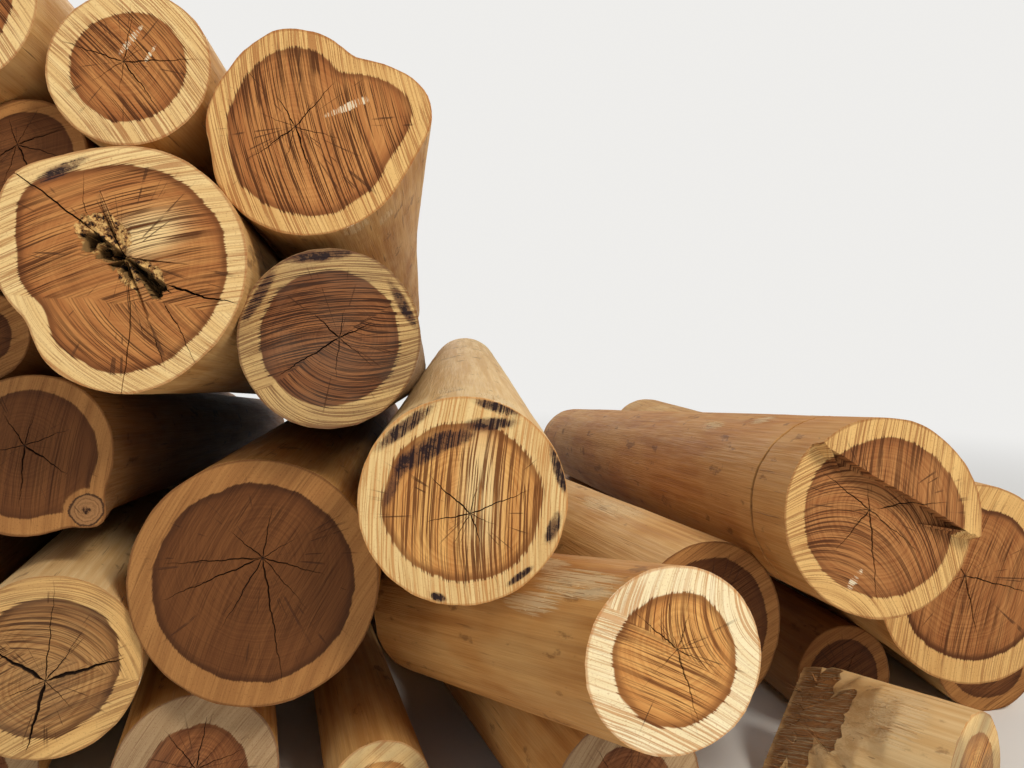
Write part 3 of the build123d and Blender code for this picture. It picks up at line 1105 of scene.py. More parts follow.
    def end_rings(self, stem: Stem, table: np.ndarray, front: bool) -> Rings:
        """Rings of one end, from the pith to the rim.

        Args:
            stem: the log's solid.
            table: distances from the pith to the side.
            front: whether it is the front end.

        Returns:
            Arrays over rings and columns: x, y, depth, rim and the marks.
        """
        count = self.detail.value[1] if front else self.detail.value[3]
        mean = float(table.mean())
        inner = np.linspace(0, 1, count + 1)[1:-1] ** 0.9
        shares = np.concatenate([inner[:-1] if front else inner, [1 - 4 * MM / mean, 1 - MM / mean]])
        turns, cracked = self.columns(shares * mean)
        reach = self.reach_at(table, turns)
        out = shares[:, None] * reach
        look = out * self.INSIDE
        if self.ragged and front:
            out, look = self.follow_edge(stem, turns, reach, shares)
        chip = self.chips(turns[-1])
        out[-1] = reach[-1] - chip
        out[-2] = reach[-2] - chip - 1.5 * MM
        x = self.pith[0] + out * np.cos(turns)
        y = self.pith[1] + out * np.sin(turns)
        look_x = self.pith[0] + (look * np.cos(turns)).ravel()
        look_y = self.pith[1] + (look * np.sin(turns)).ravel()
        depth = stem.depths(look_x, look_y, front)
        plane = 0.0 if front else stem.length
        depth = np.where(np.isnan(depth), plane, depth)
        depth, hollow, heaps, torn = self.roughen(x.ravel(), y.ravel(), depth, plane)
        inward = 1 if front else -1
        depth = depth.reshape(x.shape) + inward * cracked * np.clip(shares, 0.4, 1)[:, None]
        result = {
            "x": x,
            "y": y,
            "depth": depth,
            "chip": np.tile(chip, (len(x), 1)),
            "rim": reach - out,
            # crack: depth share of the cracks, which the finishes turn into painted shade
            "crack": np.clip(cracked / (9 * MM), 0, 1),
            # hollow: the open deep bits of the pocket, which the finish paints with shade
            "hollow": (hollow * (1 - heaps)).reshape(x.shape),
            "ripped": torn.reshape(x.shape),
        }
        for mark in Mark:
            result[mark.value] = np.clip(self.cover(mark, x, y), 0, 1) if front else np.zeros_like(x)
        if front:
            result["rot"] = np.maximum(result["rot"], (hollow * heaps).reshape(x.shape))
        else:
            result["fray"] = 0.6 * torn.reshape(x.shape)
        return result

    def side_rings(
        self, stem: Stem, tables: tuple[np.ndarray, np.ndarray], ends: tuple[Rings, Rings]
    ) -> Rings:
        """Rings of the side, from the front rim to the rear rim.

        Args:
            stem: the log's solid.
            tables: depths, and distances from the pith to the side at each.
            ends: the rings of the two ends.

        Returns:
            Arrays over rings and columns, as of the ends.
        """
        levels, table = tables
        mean = float(table.mean())
        turns, _ = self.columns(np.array([mean]))
        start = ends[0]["depth"][-1] + ends[0].pop("chip")[-1]
        stop = ends[1]["depth"][-1] - ends[1].pop("chip")[-1]
        count = self.detail.value[2]
        shares = (np.linspace(0, 1, count) ** 1.35).tolist()
        groove = self.kerf_depth / stem.length
        if groove:
            shares += [groove + k * MM / stem.length for k in self.KERF_RINGS]
        shares = np.array(sorted(shares))
        depth = start + (stop - start) * shares[:, None]
        crack = np.zeros_like(depth)
        if groove:
            before = start + (self.kerf_depth - start) * shares[:, None] / groove
            behind = (shares[:, None] - groove) / (1 - groove)
            behind = self.kerf_depth + (stop - self.kerf_depth) * behind
            depth = np.where(shares[:, None] < groove, before, behind)
            # Painted shade in the saw ring's groove, carried by the crack attribute
            crack[np.abs(depth - self.kerf_depth - self.KERF_MIDDLE) < self.KERF_SHADE_REACH] = self.KERF_SHADE
        reach = np.empty_like(depth)
        for col in range(depth.shape[1]):
            here = np.array([self.reach_at(row, turns[0, col]) for row in table])
            reach[:, col] = np.interp(depth[:, col], levels, here)
        x = self.pith[0] + reach * np.cos(turns)
        y = self.pith[1] + reach * np.sin(turns)
        zero, fray = np.zeros_like(x), np.zeros_like(x)
        around = np.degrees(turns)
        for turn, back, wide, long in self.frayed_side:
            aside = (around - turn + 180) % 360 - 180
            fray = np.maximum(fray, np.exp(-((aside / wide) ** 2 + ((depth - back) / long) ** 2) ** 1.5))
        plain = {key: zero for key in ("rim", *SURFACE)}
        return {**plain, "x": x, "y": y, "depth": depth, "fray": fray, "crack": crack}

    def build_mesh(self, stem: Stem) -> bpy.types.Mesh:
        """Make the log's closed mesh with its attributes.

        Args:
            stem: the log's solid.

        Returns:
            The mesh, before its relief.
        """
        rim, (second, third) = self.RIM_DEPTH, self.FIRST_DEPTHS
        levels = np.linspace(third, stem.length - rim, self.LEVELS_LONG)
        levels = np.concatenate([[rim, second], levels])
        if self.kerf_depth:
            levels = np.sort(np.append(levels, [self.kerf_depth + k * MM for k in self.KERF_LEVELS]))
        if stem.length < self.SHORT:
            levels = np.linspace(rim, stem.length - rim, self.LEVELS_SHORT)
        table = fill_gaps(np.stack([stem.reaches(self.pith, level) for level in levels]))
        ends = (self.end_rings(stem, table[0], True), self.end_rings(stem, table[-1], False))
        side = self.side_rings(stem, (levels, table), ends)
        backwards = {key: value[::-1] for key, value in ends[1].items()}
        parts = [ends[0], side, backwards]
        stacked = {key: np.concatenate([part[key] for part in parts]) for key in ends[0]}
        rows, cols = stacked["x"].shape
        first, last = (float(end["depth"][0].mean()) for end in ends)
        # Where cracks meet at the pith, it gets painted crack shade too
        hub = {"x": self.pith[0], "y": self.pith[1], "crack": 0.6 if self.cracks else 0.0}
        full = {}
        for key, value in stacked.items():
            lead, tail = (first, last) if key == "depth" else (hub.get(key, 0.0),) * 2
            if key == "rim":
                lead, tail = float(table[0].mean()), float(table[-1].mean())
            if key in SURFACE:
                lead, tail = float(value[0].mean()), float(value[-1].mean())
            full[key] = np.concatenate([[lead], value.ravel(), [tail]])
        spots = stem.spot(full["x"], full["y"], full["depth"])
        faces = self.weave(rows, cols)
        mesh = bpy.data.meshes.new(self.node)
        mesh.from_pydata(spots.tolist(), [], faces)
        mesh.update()
        self.write_attributes(mesh, full, (len(ends[0]["x"]), len(side["x"]), cols))
        return mesh

    @staticmethod
    def weave(rows: int, cols: int) -> list[tuple[int, ...]]:
        """Faces between the rings, with a fan at each pith.

        Args:
            rows: number of rings.
            cols: number of columns.

        Returns:
            The faces, pointing outwards.
        """
        around = np.arange(cols)
        ahead = (around + 1) % cols
        faces: list[tuple[int, ...]] = [(0, int(b) + 1, int(a) + 1) for a, b in zip(around, ahead)]
        for row in range(rows - 1):
            here, below = 1 + row * cols, 1 + (row + 1) * cols
            quads = zip(here + around, here + ahead, below + ahead, below + around)
            faces += [tuple(int(corner) for corner in quad) for quad in quads]
        tail, here = 1 + rows * cols, 1 + (rows - 1) * cols
        faces += [(tail, int(here + a), int(here + b)) for a, b in zip(around, ahead)]
        return faces

    def write_attributes(self, mesh: bpy.types.Mesh, full: Rings, shape: tuple[int, int, int]) -> None:
        """Store the marks, the grain and the face map on the mesh.

        Args:
            mesh: the log's mesh.
            full: the values of every vertex.
            shape: rings of the front end, rings of the side and columns.
        """
        full = {**full, "shift": np.full(len(full["x"]), 3.7 * self.seed)}
        for key in ("rim", "crack", *SURFACE, "shift"):
            layer = mesh.attributes.new(key, "FLOAT", "POINT")
            layer.data.foreach_set("value", full[key].astype(np.float32))
        grain = np.stack([full["x"], full["y"], full["depth"] + 7.3 * self.seed], 1)
        front, side, cols = shape
        if self.ripped:
            rear = slice(1 + (front + side) * cols, None)
            grain[rear, 0] = (full["x"][rear] + full["y"][rear]) / math.sqrt(2)
            grain[rear, 1] = 0.0
        layer = mesh.attributes.new("grain", "FLOAT_VECTOR", "POINT")
        layer.data.foreach_set("vector", grain.astype(np.float32).ravel())
        on_side = np.zeros(len(full["x"]), dtype=np.float32)
        on_side[1 + front * cols : 1 + (front + side) * cols] = 1
        layer = mesh.attributes.new("side", "FLOAT", "POINT")
        layer.data.foreach_set("value", on_side)
        side_faces = np.zeros(len(mesh.polygons), dtype=bool)
        side_faces[cols + front * cols : cols + (front + side - 1) * cols] = True
        if self.ripped:
            side_faces[cols + front * cols :] = True
        layer = mesh.attributes.new("is_side", "BOOLEAN", "FACE")
        layer.data.foreach_set("value", side_faces)
        uv = mesh.uv_layers.new(name="wood")
        corner = np.empty(len(mesh.loops), dtype=np.int32)
        mesh.loops.foreach_get("vertex_index", corner)
        flat = np.stack([full["x"] - self.pith[0], full["y"] - self.pith[1]], 1)[corner]
        uv.data.foreach_set("uv", flat.astype(np.float32).ravel())


class ReliefTree:
    """Geometry nodes that press shallow flutes into a debarked side and give the two finishes."""

    def __init__(self) -> None:
        """Build the tree."""
        inputs = {
            "Geometry": "Geometry",
            "Flute Depth": "Float",
            "Flute Width": "Float",
            "Flute Length": "Float",
            "Sawn Finish": "Material",
            "Side Finish": "Material",
        }
        sheet, given, out = new_group("debarked_relief", inputs, {"Geometry": "Geometry"}, "Geometry")
        self.tree = sheet.tree
        grain = self.named(sheet, "grain", "FLOAT_VECTOR")
        on_side = self.named(sheet, "side", "FLOAT")
        size = sheet.combine(given["Flute Width"], given["Flute Width"], given["Flute Length"])
        place = sheet.vector("DIVIDE", grain, size)
        flutes = sheet.step(sheet.noise(place, 1.0, 2.0, 0.5), 0.3, 0.7)
        dented = sheet.noise(sheet.vector("MULTIPLY", grain, (34.0, 34.0, 12.0)), 1.0, 3.0, 0.6)
        dents = sheet.step(dented, 0.5, 0.75)
        pressed = sheet.plus(sheet.times(flutes, 0.75), sheet.times(dents, 0.35))
        deep = sheet.times(sheet.times(pressed, on_side), given["Flute Depth"])
        normal = sheet.add("GeometryNodeInputNormal").outputs[0]
        push = sheet.scaled(normal, sheet.times(deep, -1.0))
        pushed = {"Geometry": given["Geometry"], "Offset": push}
        moved = sheet.add("GeometryNodeSetPosition", pushed).outputs[0]
        whole = sheet.add("GeometryNodeRealizeInstances", {0: moved}).outputs[0]
        chosen = {"Geometry": whole, "Material": given["Sawn Finish"]}
        sawn = sheet.add("GeometryNodeSetMaterial", chosen).outputs[0]
        on_sides = self.named(sheet, "is_side", "BOOLEAN")
        chosen = {"Geometry": sawn, "Selection": on_sides, "Material": given["Side Finish"]}
        done = sheet.add("GeometryNodeSetMaterial", chosen).outputs[0]
        sheet.tree.links.new(done, out["Geometry"])

    @staticmethod
    def named(sheet: Sheet, name: str, kind: str) -> Socket:
        """Value of a named attribute.

        Args:
            sheet: the tree's sheet.
            name: the attribute.
            kind: its data type.

        Returns:
            The attribute's socket.
        """
        node = sheet.add("GeometryNodeInputNamedAttribute", data_type=kind)
        node.inputs["Name"].default_value = name
        return node.outputs["Attribute"]


class SplinterTree:
    """Geometry nodes that set thin splinters on the frayed parts of a log."""

    def __init__(self) -> None:
        """Build the tree."""
        inputs = {
            "Geometry": "Geometry",
            "Density": "Float",
            "Length": "Float",
            "Thickness": "Float",
            "Run": "Vector",
            "Lift": "Float",
            "Seed": "Int",
            "Finish": "Material",
        }
        sheet, given, out = new_group("splinters", inputs, {"Geometry": "Geometry"}, "Geometry")
        self.tree = sheet.tree
        fray = ReliefTree.named(sheet, "fray", "FLOAT")
        facing = sheet.add("GeometryNodeInputNormal").outputs[0]
        square = sheet.number("DOT_PRODUCT", facing, given["Run"])
        along = sheet.step(sheet.math("ABSOLUTE", square), 0.85, 0.75)
        dense = sheet.times(sheet.times(sheet.step(fray, 0.35, 0.8), along), given["Density"])
        strewn = sheet.add(
            "GeometryNodeDistributePointsOnFaces",
            {"Mesh": given["Geometry"], "Density": dense, "Seed": given["Seed"]},
            distribute_method="RANDOM",
        )
        sizes = {"Radius Top": 0.0, "Radius Bottom": given["Thickness"], "Depth": given["Length"]}
        sliver = sheet.add("GeometryNodeMeshCone", {"Vertices": 4, **sizes}, fill_type="NGON").outputs["Mesh"]
        lift = self.draw(sheet, given["Seed"], 0.02, given["Lift"])
        raised = sheet.scaled(strewn.outputs["Normal"], lift)
        side = self.draw(sheet, given["Seed"], (-0.12, -0.12, -0.12), (0.12, 0.12, 0.12))
        sunk = sheet.number("DOT_PRODUCT", strewn.outputs["Normal"], given["Run"])
        off = sheet.scaled(strewn.outputs["Normal"], sunk)
        lying = sheet.vector("NORMALIZE", sheet.vector("SUBTRACT", given["Run"], off))
        way = sheet.vector("ADD", sheet.vector("ADD", lying, raised), side)
        turn = sheet.add("FunctionNodeAlignRotationToVector", {"Vector": way}, axis="Z").outputs[0]
        scale = self.draw(sheet, given["Seed"], (0.5, 0.25, 0.35), (1.3, 0.6, 1.5))
        placed = sheet.add(
            "GeometryNodeInstanceOnPoints",
            {"Points": strewn.outputs["Points"], "Instance": sliver, "Rotation": turn, "Scale": scale},
        ).outputs[0]
        whole = sheet.add("GeometryNodeRealizeInstances", {0: placed}).outputs[0]
        dressed = {"Geometry": whole, "Material": given["Finish"]}
        done = sheet.add("GeometryNodeSetMaterial", dressed).outputs[0]
        sheet.tree.links.new(done, out["Geometry"])

    @staticmethod
    def draw(sheet: Sheet, seed: Socket, low: Any, high: Any) -> Socket:
        """A random value or vector for each splinter.

        Args:
            sheet: the tree's sheet.
            seed: socket of the seed.
            low: the least value or vector.
            high: the greatest one.

        Returns:
            The draw's socket.
        """
        kind = "FLOAT_VECTOR" if isinstance(low, tuple) else "FLOAT"
        node = sheet.add("FunctionNodeRandomValue", data_type=kind)
        limits = [socket for socket in node.inputs if socket.enabled and socket.name in ("Min", "Max")]
        for socket, value in zip(limits, (low, high)):
            if isinstance(value, Socket):
                sheet.tree.links.new(value, socket)
            else:
                socket.default_value = value
        sheet.tree.links.new(seed, node.inputs["Seed"])
        return next(out for out in node.outputs if out.enabled)


def run_tree(obj: bpy.types.Object, tree: bpy.types.NodeTree, values: dict[str, Any]) -> bpy.types.Mesh:
    """Run a geometry tree on an object and return the plain mesh.

    Args:
        obj: the object that carries the source mesh.
        tree: the tree.
        values: a value for each named input.

    Returns:
        The resulting mesh.
    """
    modifier = obj.modifiers.new(tree.name, "NODES")
    modifier.node_group = tree
    for item in tree.interface.items_tree:
        if item.item_type == "SOCKET" and item.in_out == "INPUT" and item.name in values:
            modifier[item.identifier] = values[item.name]
    graph = bpy.context.evaluated_depsgraph_get()
    mesh = bpy.data.meshes.new_from_object(
        obj.evaluated_get(graph), preserve_all_data_layers=True, depsgraph=graph
    )
    obj.modifiers.remove(modifier)
    return mesh


def show(name: str, mesh: bpy.types.Mesh) -> bpy.types.Object:
    """Put a mesh into the scene as an object at the origin."""
    obj = bpy.data.objects.new(name, mesh)
    bpy.context.scene.collection.objects.link(obj)
    return obj


def smooth(obj: bpy.types.Object, degrees: float) -> None:
    """Shade an object smooth, with its sharper edges kept."""
    bpy.ops.object.select_all(action="DESELECT")
    obj.select_set(True)
    bpy.context.view_layer.objects.active = obj
    bpy.ops.object.shade_smooth_by_angle(angle=math.radians(degrees))


ORANGE = ((0.56, 0.25, 0.075), (0.33, 0.108, 0.029), (0.070, 0.021, 0.006))
AMBER = ((0.80, 0.44, 0.14), (0.52, 0.21, 0.055), (0.15, 0.050, 0.014))
RUSSET = ((0.48, 0.215, 0.070), (0.28, 0.098, 0.028), (0.075, 0.024, 0.008))
GOLDEN = ((0.50, 0.27, 0.095), (0.29, 0.128, 0.041), (0.065, 0.024, 0.009))
# Painted shade: a heart darkened for the faces that lie in shade, set back in the heap
SHADED_BROWN = ((0.18, 0.066, 0.019), (0.108, 0.036, 0.010), (0.028, 0.009, 0.003))
# A dark heart; on the ground logs, which lie in shade, it is painted shade
DUSKY = ((0.32, 0.125, 0.042), (0.15, 0.048, 0.016), (0.034, 0.011, 0.005))
CREAM = ((0.84, 0.61, 0.28), (0.68, 0.41, 0.15))
HONEY = ((0.76, 0.48, 0.18), (0.58, 0.31, 0.10))
# Painted shade: a sapwood darkened for the same shaded faces
SHADED_TAN = ((0.42, 0.195, 0.060), (0.25, 0.100, 0.029))
STRAW = ((0.66, 0.43, 0.17), (0.36, 0.195, 0.070))
WHITE = ((0.93, 0.81, 0.53), (0.84, 0.65, 0.35))
DUSTY = ((0.46, 0.31, 0.165), (0.31, 0.19, 0.09))

SAWN = {
    finish.name: finish
    for finish in (
        SawnFinish("sawn_top_pale", ORANGE, CREAM, 33 * MM, -48, saw=1.0),
        SawnFinish("sawn_lobed", ORANGE, HONEY, 28 * MM, 105, saw=1.0, rings=0.25, edge_band=0.4),
        # The faces set back in the heap get the darkened heart and sapwood above, as painted shade
        SawnFinish("sawn_small_shaded", SHADED_BROWN, SHADED_TAN, 20 * MM, 20, saw=0.35, rings=0.35),
        SawnFinish(
            "sawn_pear", ORANGE, CREAM, 26 * MM, 17, saw=0.75, rings=0.2, edge_band=0.55,
            second=SecondCut(104, 3.0, -95, 62 * MM),
        ),
        SawnFinish(
            "sawn_weathered", DUSKY, STRAW, 29 * MM, 4, saw=1.5, bow=1.2, grey=0.25,
            second=SecondCut(-28, -5.0, -57),
        ),
        SawnFinish("sawn_knotted_shaded", SHADED_BROWN, SHADED_TAN, 24 * MM, 80, saw=0.35, rings=0.35),
        SawnFinish("sawn_stained", AMBER, CREAM, 33 * MM, 88, saw=1.25, edge_band=0.6),
        SawnFinish("sawn_big_shaded", SHADED_BROWN, SHADED_TAN, 36 * MM, 60, saw=0.3, rings=0.35, edge_band=0.5),
        SawnFinish(
            "sawn_star_cracked", GOLDEN, HONEY, 30 * MM, 22, saw=1.0, rings=0.5, edge_band=0.6, grey=0.15,
            second=SecondCut(-30, 4.0, 70, 34 * MM),
        ),
        SawnFinish(
            "sawn_crossing", AMBER, WHITE, 33 * MM, -32, saw=1.0, edge_band=0.6,
            second=SecondCut(106, 5.0, 50),
        ),
        SawnFinish(
            "sawn_step_cut", RUSSET, HONEY, 29 * MM, 84, saw=0.8, rings=0.5,
            second=SecondCut(-24, 5.0, 239, -42 * MM),
        ),
        SawnFinish("sawn_wide", RUSSET, HONEY, 40 * MM, 70, saw=0.6, rings=0.5, edge_band=0.85),
        SawnFinish("sawn_shaded", SHADED_BROWN, SHADED_TAN, 26 * MM, 30, saw=0.5, rings=0.4),
        SawnFinish("sawn_ground", DUSKY, DUSTY, 47 * MM, 55, saw=0.4, rings=0.5, grey=0.12),
        SawnFinish("sawn_offcut", AMBER, CREAM, 30 * MM, 40, saw=0.8, grey=0.5),
    )
}
# Each side: its light, middle and dark colour, and that of its blotches
SIDES = {
    finish.name: finish
    for finish in (
        SideFinish(
            "side_golden",
            (0.62, 0.35, 0.12), (0.45, 0.215, 0.062),
            (0.13, 0.055, 0.020), (0.74, 0.50, 0.23),
        ),
        SideFinish(
            "side_cream",
            (0.82, 0.60, 0.31), (0.66, 0.42, 0.18),
            (0.22, 0.11, 0.05), (0.60, 0.36, 0.14), 0.4,
        ),
        SideFinish(
            "side_orange",
            (0.53, 0.25, 0.070), (0.39, 0.162, 0.040),
            (0.11, 0.042, 0.015), (0.66, 0.40, 0.15), 0.45,
        ),
        SideFinish(
            "side_brown",
            (0.33, 0.160, 0.055), (0.22, 0.098, 0.034),
            (0.06, 0.025, 0.010), (0.42, 0.24, 0.095),
        ),
        SideFinish(
            "side_grey",
            (0.36, 0.25, 0.14), (0.24, 0.16, 0.09),
            (0.07, 0.045, 0.025), (0.30, 0.17, 0.08),
        ),
    )
}
SPLINTER = SideFinish(
    "splinter_fibre", (0.70, 0.48, 0.23), (0.50, 0.28, 0.11), (0.26, 0.12, 0.045), (0.66, 0.42, 0.18), 0.3
)


def star(count: int, start: float, out: float, seed: int) -> tuple[Crack, ...]:
    """Cracks that run out from the pith all round, for a face whose own ones don't show.

    Args:
        count: number of cracks.
        start: turn of the first.
        out: mean length.
        seed: number that sets their differences.

    Returns:
        The cracks.
    """
    draws = np.random.default_rng(seed)
    turns = start + 360 / count * (np.arange(count) + draws.uniform(-0.25, 0.25, count))
    return tuple(
        Crack(((float(turn % 360), float(out * draws.uniform(0.6, 1.2))),), draws.uniform(1.2, 2.6) * MM)
        for turn in turns
    )


def rays(*ends: tuple[float, float], width: float = 2.6) -> tuple[Crack, ...]:
    """Cracks from the pith.

    Args:
        ends: turn and length in millimetres of each.
        width: their width in millimetres.

    Returns:
        The cracks.
    """
    return tuple(Crack(((turn, out * MM),), width * MM) for turn, out in ends)


def bent(*path: tuple[float, float], width: float = 3.0) -> Crack:
    """A crack with several points.

    Args:
        path: turn and distance from the pith in millimetres of each point.
        width: its width in millimetres.

    Returns:
        The crack.
    """
    return Crack(tuple((turn, out * MM) for turn, out in path), width * MM)


def patches(mark: Mark, *rows: tuple[float, ...]) -> tuple[Patch, ...]:
    """Patches of one kind.

    Args:
        mark: what they are.
        rows: place, half length and half width of each in millimetres, and its turn in degrees.

    Returns:
        The patches.
    """
    return tuple(Patch(mark, *(value * MM for value in row[:4]), *row[4:]) for row in rows)


def plain_log(
    node: str, sawn: str, side: str, star_of: tuple[int, float, float], seed: int, star_seed: int = 0
) -> DebarkedLog:
    """A log of which little or nothing shows.

    Args:
        node: the node that it stands for.
        sawn: finish of its faces.
        side: name of its side's finish.
        star_of: number of its cracks, turn of the first and their mean length.
        seed: number that sets everything random.
        star_seed: number that sets the cracks, where it is another one.

    Returns:
        The log.
    """
    cracks = star(*star_of, star_seed or seed)
    return DebarkedLog(node, sawn, side, cracks=cracks, detail=Detail.PLAIN, seed=seed)


def build_logs() -> list[DebarkedLog]:
    """All logs of the stack, from the top down.

    Returns:
        The logs.
    """
    fray, stain = Mark.FRAY, Mark.STAIN
    return [
        plain_log("top_left_log", "sawn_top_pale", "side_golden", (5, 20, 0.08), 2, star_seed=4),
        DebarkedLog(
            "top_pale_log", "sawn_top_pale", "side_golden", (-8 * MM, 8 * MM),
            rays((162, 108), (3, 110), (82, 82), (307, 80))
            + rays((40, 40), (215, 55), (265, 48), width=1.4),
            patches(fray, (2, 42, 26, 5, 55), (30, 20, 16, 3, 60)),
            frayed_side=((52, 0.012, 7, 0.018), (170, 0.02, 6, 0.02)), seed=3,
        ),
        DebarkedLog(
            "lobed_log", "sawn_lobed", "side_golden", (-19 * MM, 12 * MM),
            rays((120, 62), (289, 92), (218, 90), (51, 102))
            + rays((160, 70), (345, 60), (255, 66), width=1.4),
            patches(fray, (58, 44, 38, 5, 24)),
            frayed_side=((302, 0.03, 9, 0.04), (318, 0.09, 7, 0.04)), seed=4,
        ),
        DebarkedLog(
            "small_cracked_log", "sawn_small_shaded", "side_brown", (-13 * MM, 20 * MM),
            rays((22, 67), (298, 79), (218, 66), (110, 59))
            + rays((65, 50), (255, 60), (345, 70), width=1.6),
            seed=5,
        ),
        DebarkedLog(
            "pear_log", "sawn_pear", "side_golden", (0.0, 10 * MM),
            (
                bent((139, 76), (142, 182), width=4), bent((328, 68), (338, 168), width=4.5),
                bent((308, 58), (282, 98), (269, 178), width=4), bent((311, 80), (303, 180), width=2),
                bent((0, 22), (9, 126), width=2.2), bent((58, 46), (62, 106), width=2.2),
                bent((98, 56), (92, 134), width=1.6), bent((131, 70), (114, 140), width=1.4),
                bent((149, 72), (166, 152), width=1.6), bent((202, 64), (182, 97), (178, 140), width=2.4),
                bent((250, 58), (218, 66), (199, 118), width=2.4), bent((292, 110), (291, 156), width=1.6),
            ),
            # A pool of painted sunlight on the heart
            patches(Mark.GLOW, (30, 42, 50, 30, 20))
            + patches(Mark.ROT, (-28, 42, 42, 27, -25), (24, -16, 34, 22, -15))
            + patches(stain, (-86, 130, 40, 9, 28)),
            ragged=8 * MM, rotted=True, seed=6,
        ),
        DebarkedLog(
            "weathered_log", "sawn_weathered", "side_grey", (14 * MM, 0.0),
            rays((212, 99), (137, 49), (25, 60)) + rays((80, 45), (265, 60), (320, 70), width=1.6),
            patches(stain, (-100, 60, 50, 9, 60), (-20, 118, 60, 9, 6), (104, 48, 40, 8, -60)),
            seed=7,
        ),
        DebarkedLog(
            "knotted_log", "sawn_knotted_shaded", "side_brown", (-8 * MM, 14 * MM),
            rays((325, 64), (123, 65), (268, 80)) + rays((20, 70), (75, 60), (190, 66), width=1.6),
            patches(Mark.KNOT, (84, -84, 25, 24)), seed=8,
        ),
        DebarkedLog(
            "stained_log", "sawn_stained", "side_cream", (10 * MM, -17 * MM),
            rays((137, 69), (21, 93), (190, 59), (290, 52))
            + rays((75, 40), (240, 55), (335, 50), width=1.4),
            patches(
                stain,
                (-51, 70, 44, 16, 34), (-94, 27, 36, 8, 68), (-12, 86, 30, 11, 14), (38, 107, 36, 9, 2),
                (79, -104, 24, 5, 36), (-79, 104, 52, 10, 38), (46, 131, 34, 9, -16), (132, 44, 34, 8, -72),
                (124, -39, 24, 9, 70), (-34, -132, 12, 6, -20),
            )
            # A streak of painted sunlight down the heart
            + patches(Mark.GLOW, (24, 10, 26, 90)),
            frayed_side=((75, 0.05, 14, 0.05), (100, 0.12, 10, 0.05)), seed=9,
        ),
        DebarkedLog(
            "big_brown_log", "sawn_big_shaded", "side_orange", (12 * MM, 37 * MM),
            rays((80, 95), (140, 67), (202, 136), (279, 161), (343, 95), (182, 134))
            + rays((30, 70), (240, 100), (310, 90), width=1.6),
            seed=10,
        ),
        DebarkedLog(
            "star_cracked_log", "sawn_star_cracked", "side_cream", (0.0, -19 * MM),
            rays((144, 84), (12, 107), (256, 118), width=8)
            + rays((85, 121), (50, 60), (200, 70), (310, 66), width=2),
            frayed_side=((352, 0.012, 7, 0.016), (330, 0.03, 5, 0.02)), seed=11,
        ),
        DebarkedLog(
            "crossing_log", "sawn_crossing", "side_orange", (4 * MM, 12 * MM),
            rays((133, 68), (63, 55), (281, 88))
            + rays((359, 46), (20, 40), (215, 40), (100, 36), (325, 44), width=1.4),
            frayed_side=((128, 0.15, 17, 0.10), (112, 0.27, 12, 0.08), (150, 0.22, 9, 0.07)), seed=12,
        ),
        DebarkedLog(
            "crossing_log_behind", "sawn_shaded", "side_golden", cracks=star(6, 10, 0.09, 13),
            frayed_side=((95, 0.30, 16, 0.12),), seed=13,
        ),
        DebarkedLog(
            "step_cut_log", "sawn_step_cut", "side_orange", (-15 * MM, 11 * MM),
            rays((141, 112), (93, 60), (226, 84), (272, 130))
            + (bent((8, 12), (8, 69), (5, 108), width=2.6),)
            + rays((320, 90), (180, 70), width=1.6),
            patches(fray, (-45, -92, 22, 4, 52)), ragged=1.5 * MM, kerf_depth=150 * MM,
            frayed_side=((105, 0.33, 10, 0.05), (120, 0.52, 9, 0.07), (88, 0.20, 6, 0.04)), seed=14,
        ),
        DebarkedLog(
            "wide_log_right", "sawn_wide", "side_golden", (-15 * MM, 15 * MM),
            rays((345, 141), (281, 105), (120, 90)) + rays((200, 80), (60, 90), (240, 70), width=1.6),
            seed=15,
        ),
        DebarkedLog(
            "torn_offcut", "sawn_offcut", "side_cream", (0.0, 6 * MM),
            rays((30, 50), (150, 60), (260, 55), width=2),
            detail=Detail.TORN, frayed_side=((120, 0.1, 40, 0.06),), seed=16, ripped=True,
        ),
        DebarkedLog(
            "ground_log_left", "sawn_ground", "side_golden", (0.0, 8 * MM),
            rays((125, 84), (78, 88), (17, 76), (210, 70), (290, 66), width=2.4)
            + rays((45, 60), (160, 60), width=1.4),
            seed=17,
        ),
        plain_log("ground_log_thin", "sawn_offcut", "side_golden", (5, 30, 0.05), 18),
        DebarkedLog(
            "ground_log_under_crossing", "sawn_ground", "side_orange", cracks=star(6, 10, 0.08, 19), seed=19,
        ),
        plain_log("ground_log_middle", "sawn_shaded", "side_brown", (5, 5, 0.06), 20),
        plain_log("ground_log_right", "sawn_shaded", "side_brown", (5, 50, 0.06), 21),
        plain_log("ground_log_far_right", "sawn_shaded", "side_golden", (5, 80, 0.07), 22),
        plain_log("thin_dark_log", "sawn_shaded", "side_brown", (4, 40, 0.04), 23),
        plain_log("hidden_ground_log_1", "sawn_ground", "side_golden", (5, 15, 0.08), 24),
        plain_log("hidden_ground_log_2", "sawn_big_shaded", "side_orange", (6, 25, 0.09), 25),
        plain_log("hidden_ground_log_3", "sawn_pear", "side_golden", (5, 35, 0.09), 26),
        plain_log("hidden_second_log_1", "sawn_lobed", "side_brown", (6, 45, 0.09), 27),
        plain_log("hidden_second_log_2", "sawn_star_cracked", "side_golden", (5, 55, 0.09), 28),
        plain_log("hidden_third_log", "sawn_weathered", "side_grey", (6, 65, 0.10), 29),
        plain_log("hidden_fourth_log", "sawn_top_pale", "side_golden", (5, 75, 0.10), 30),
    ]


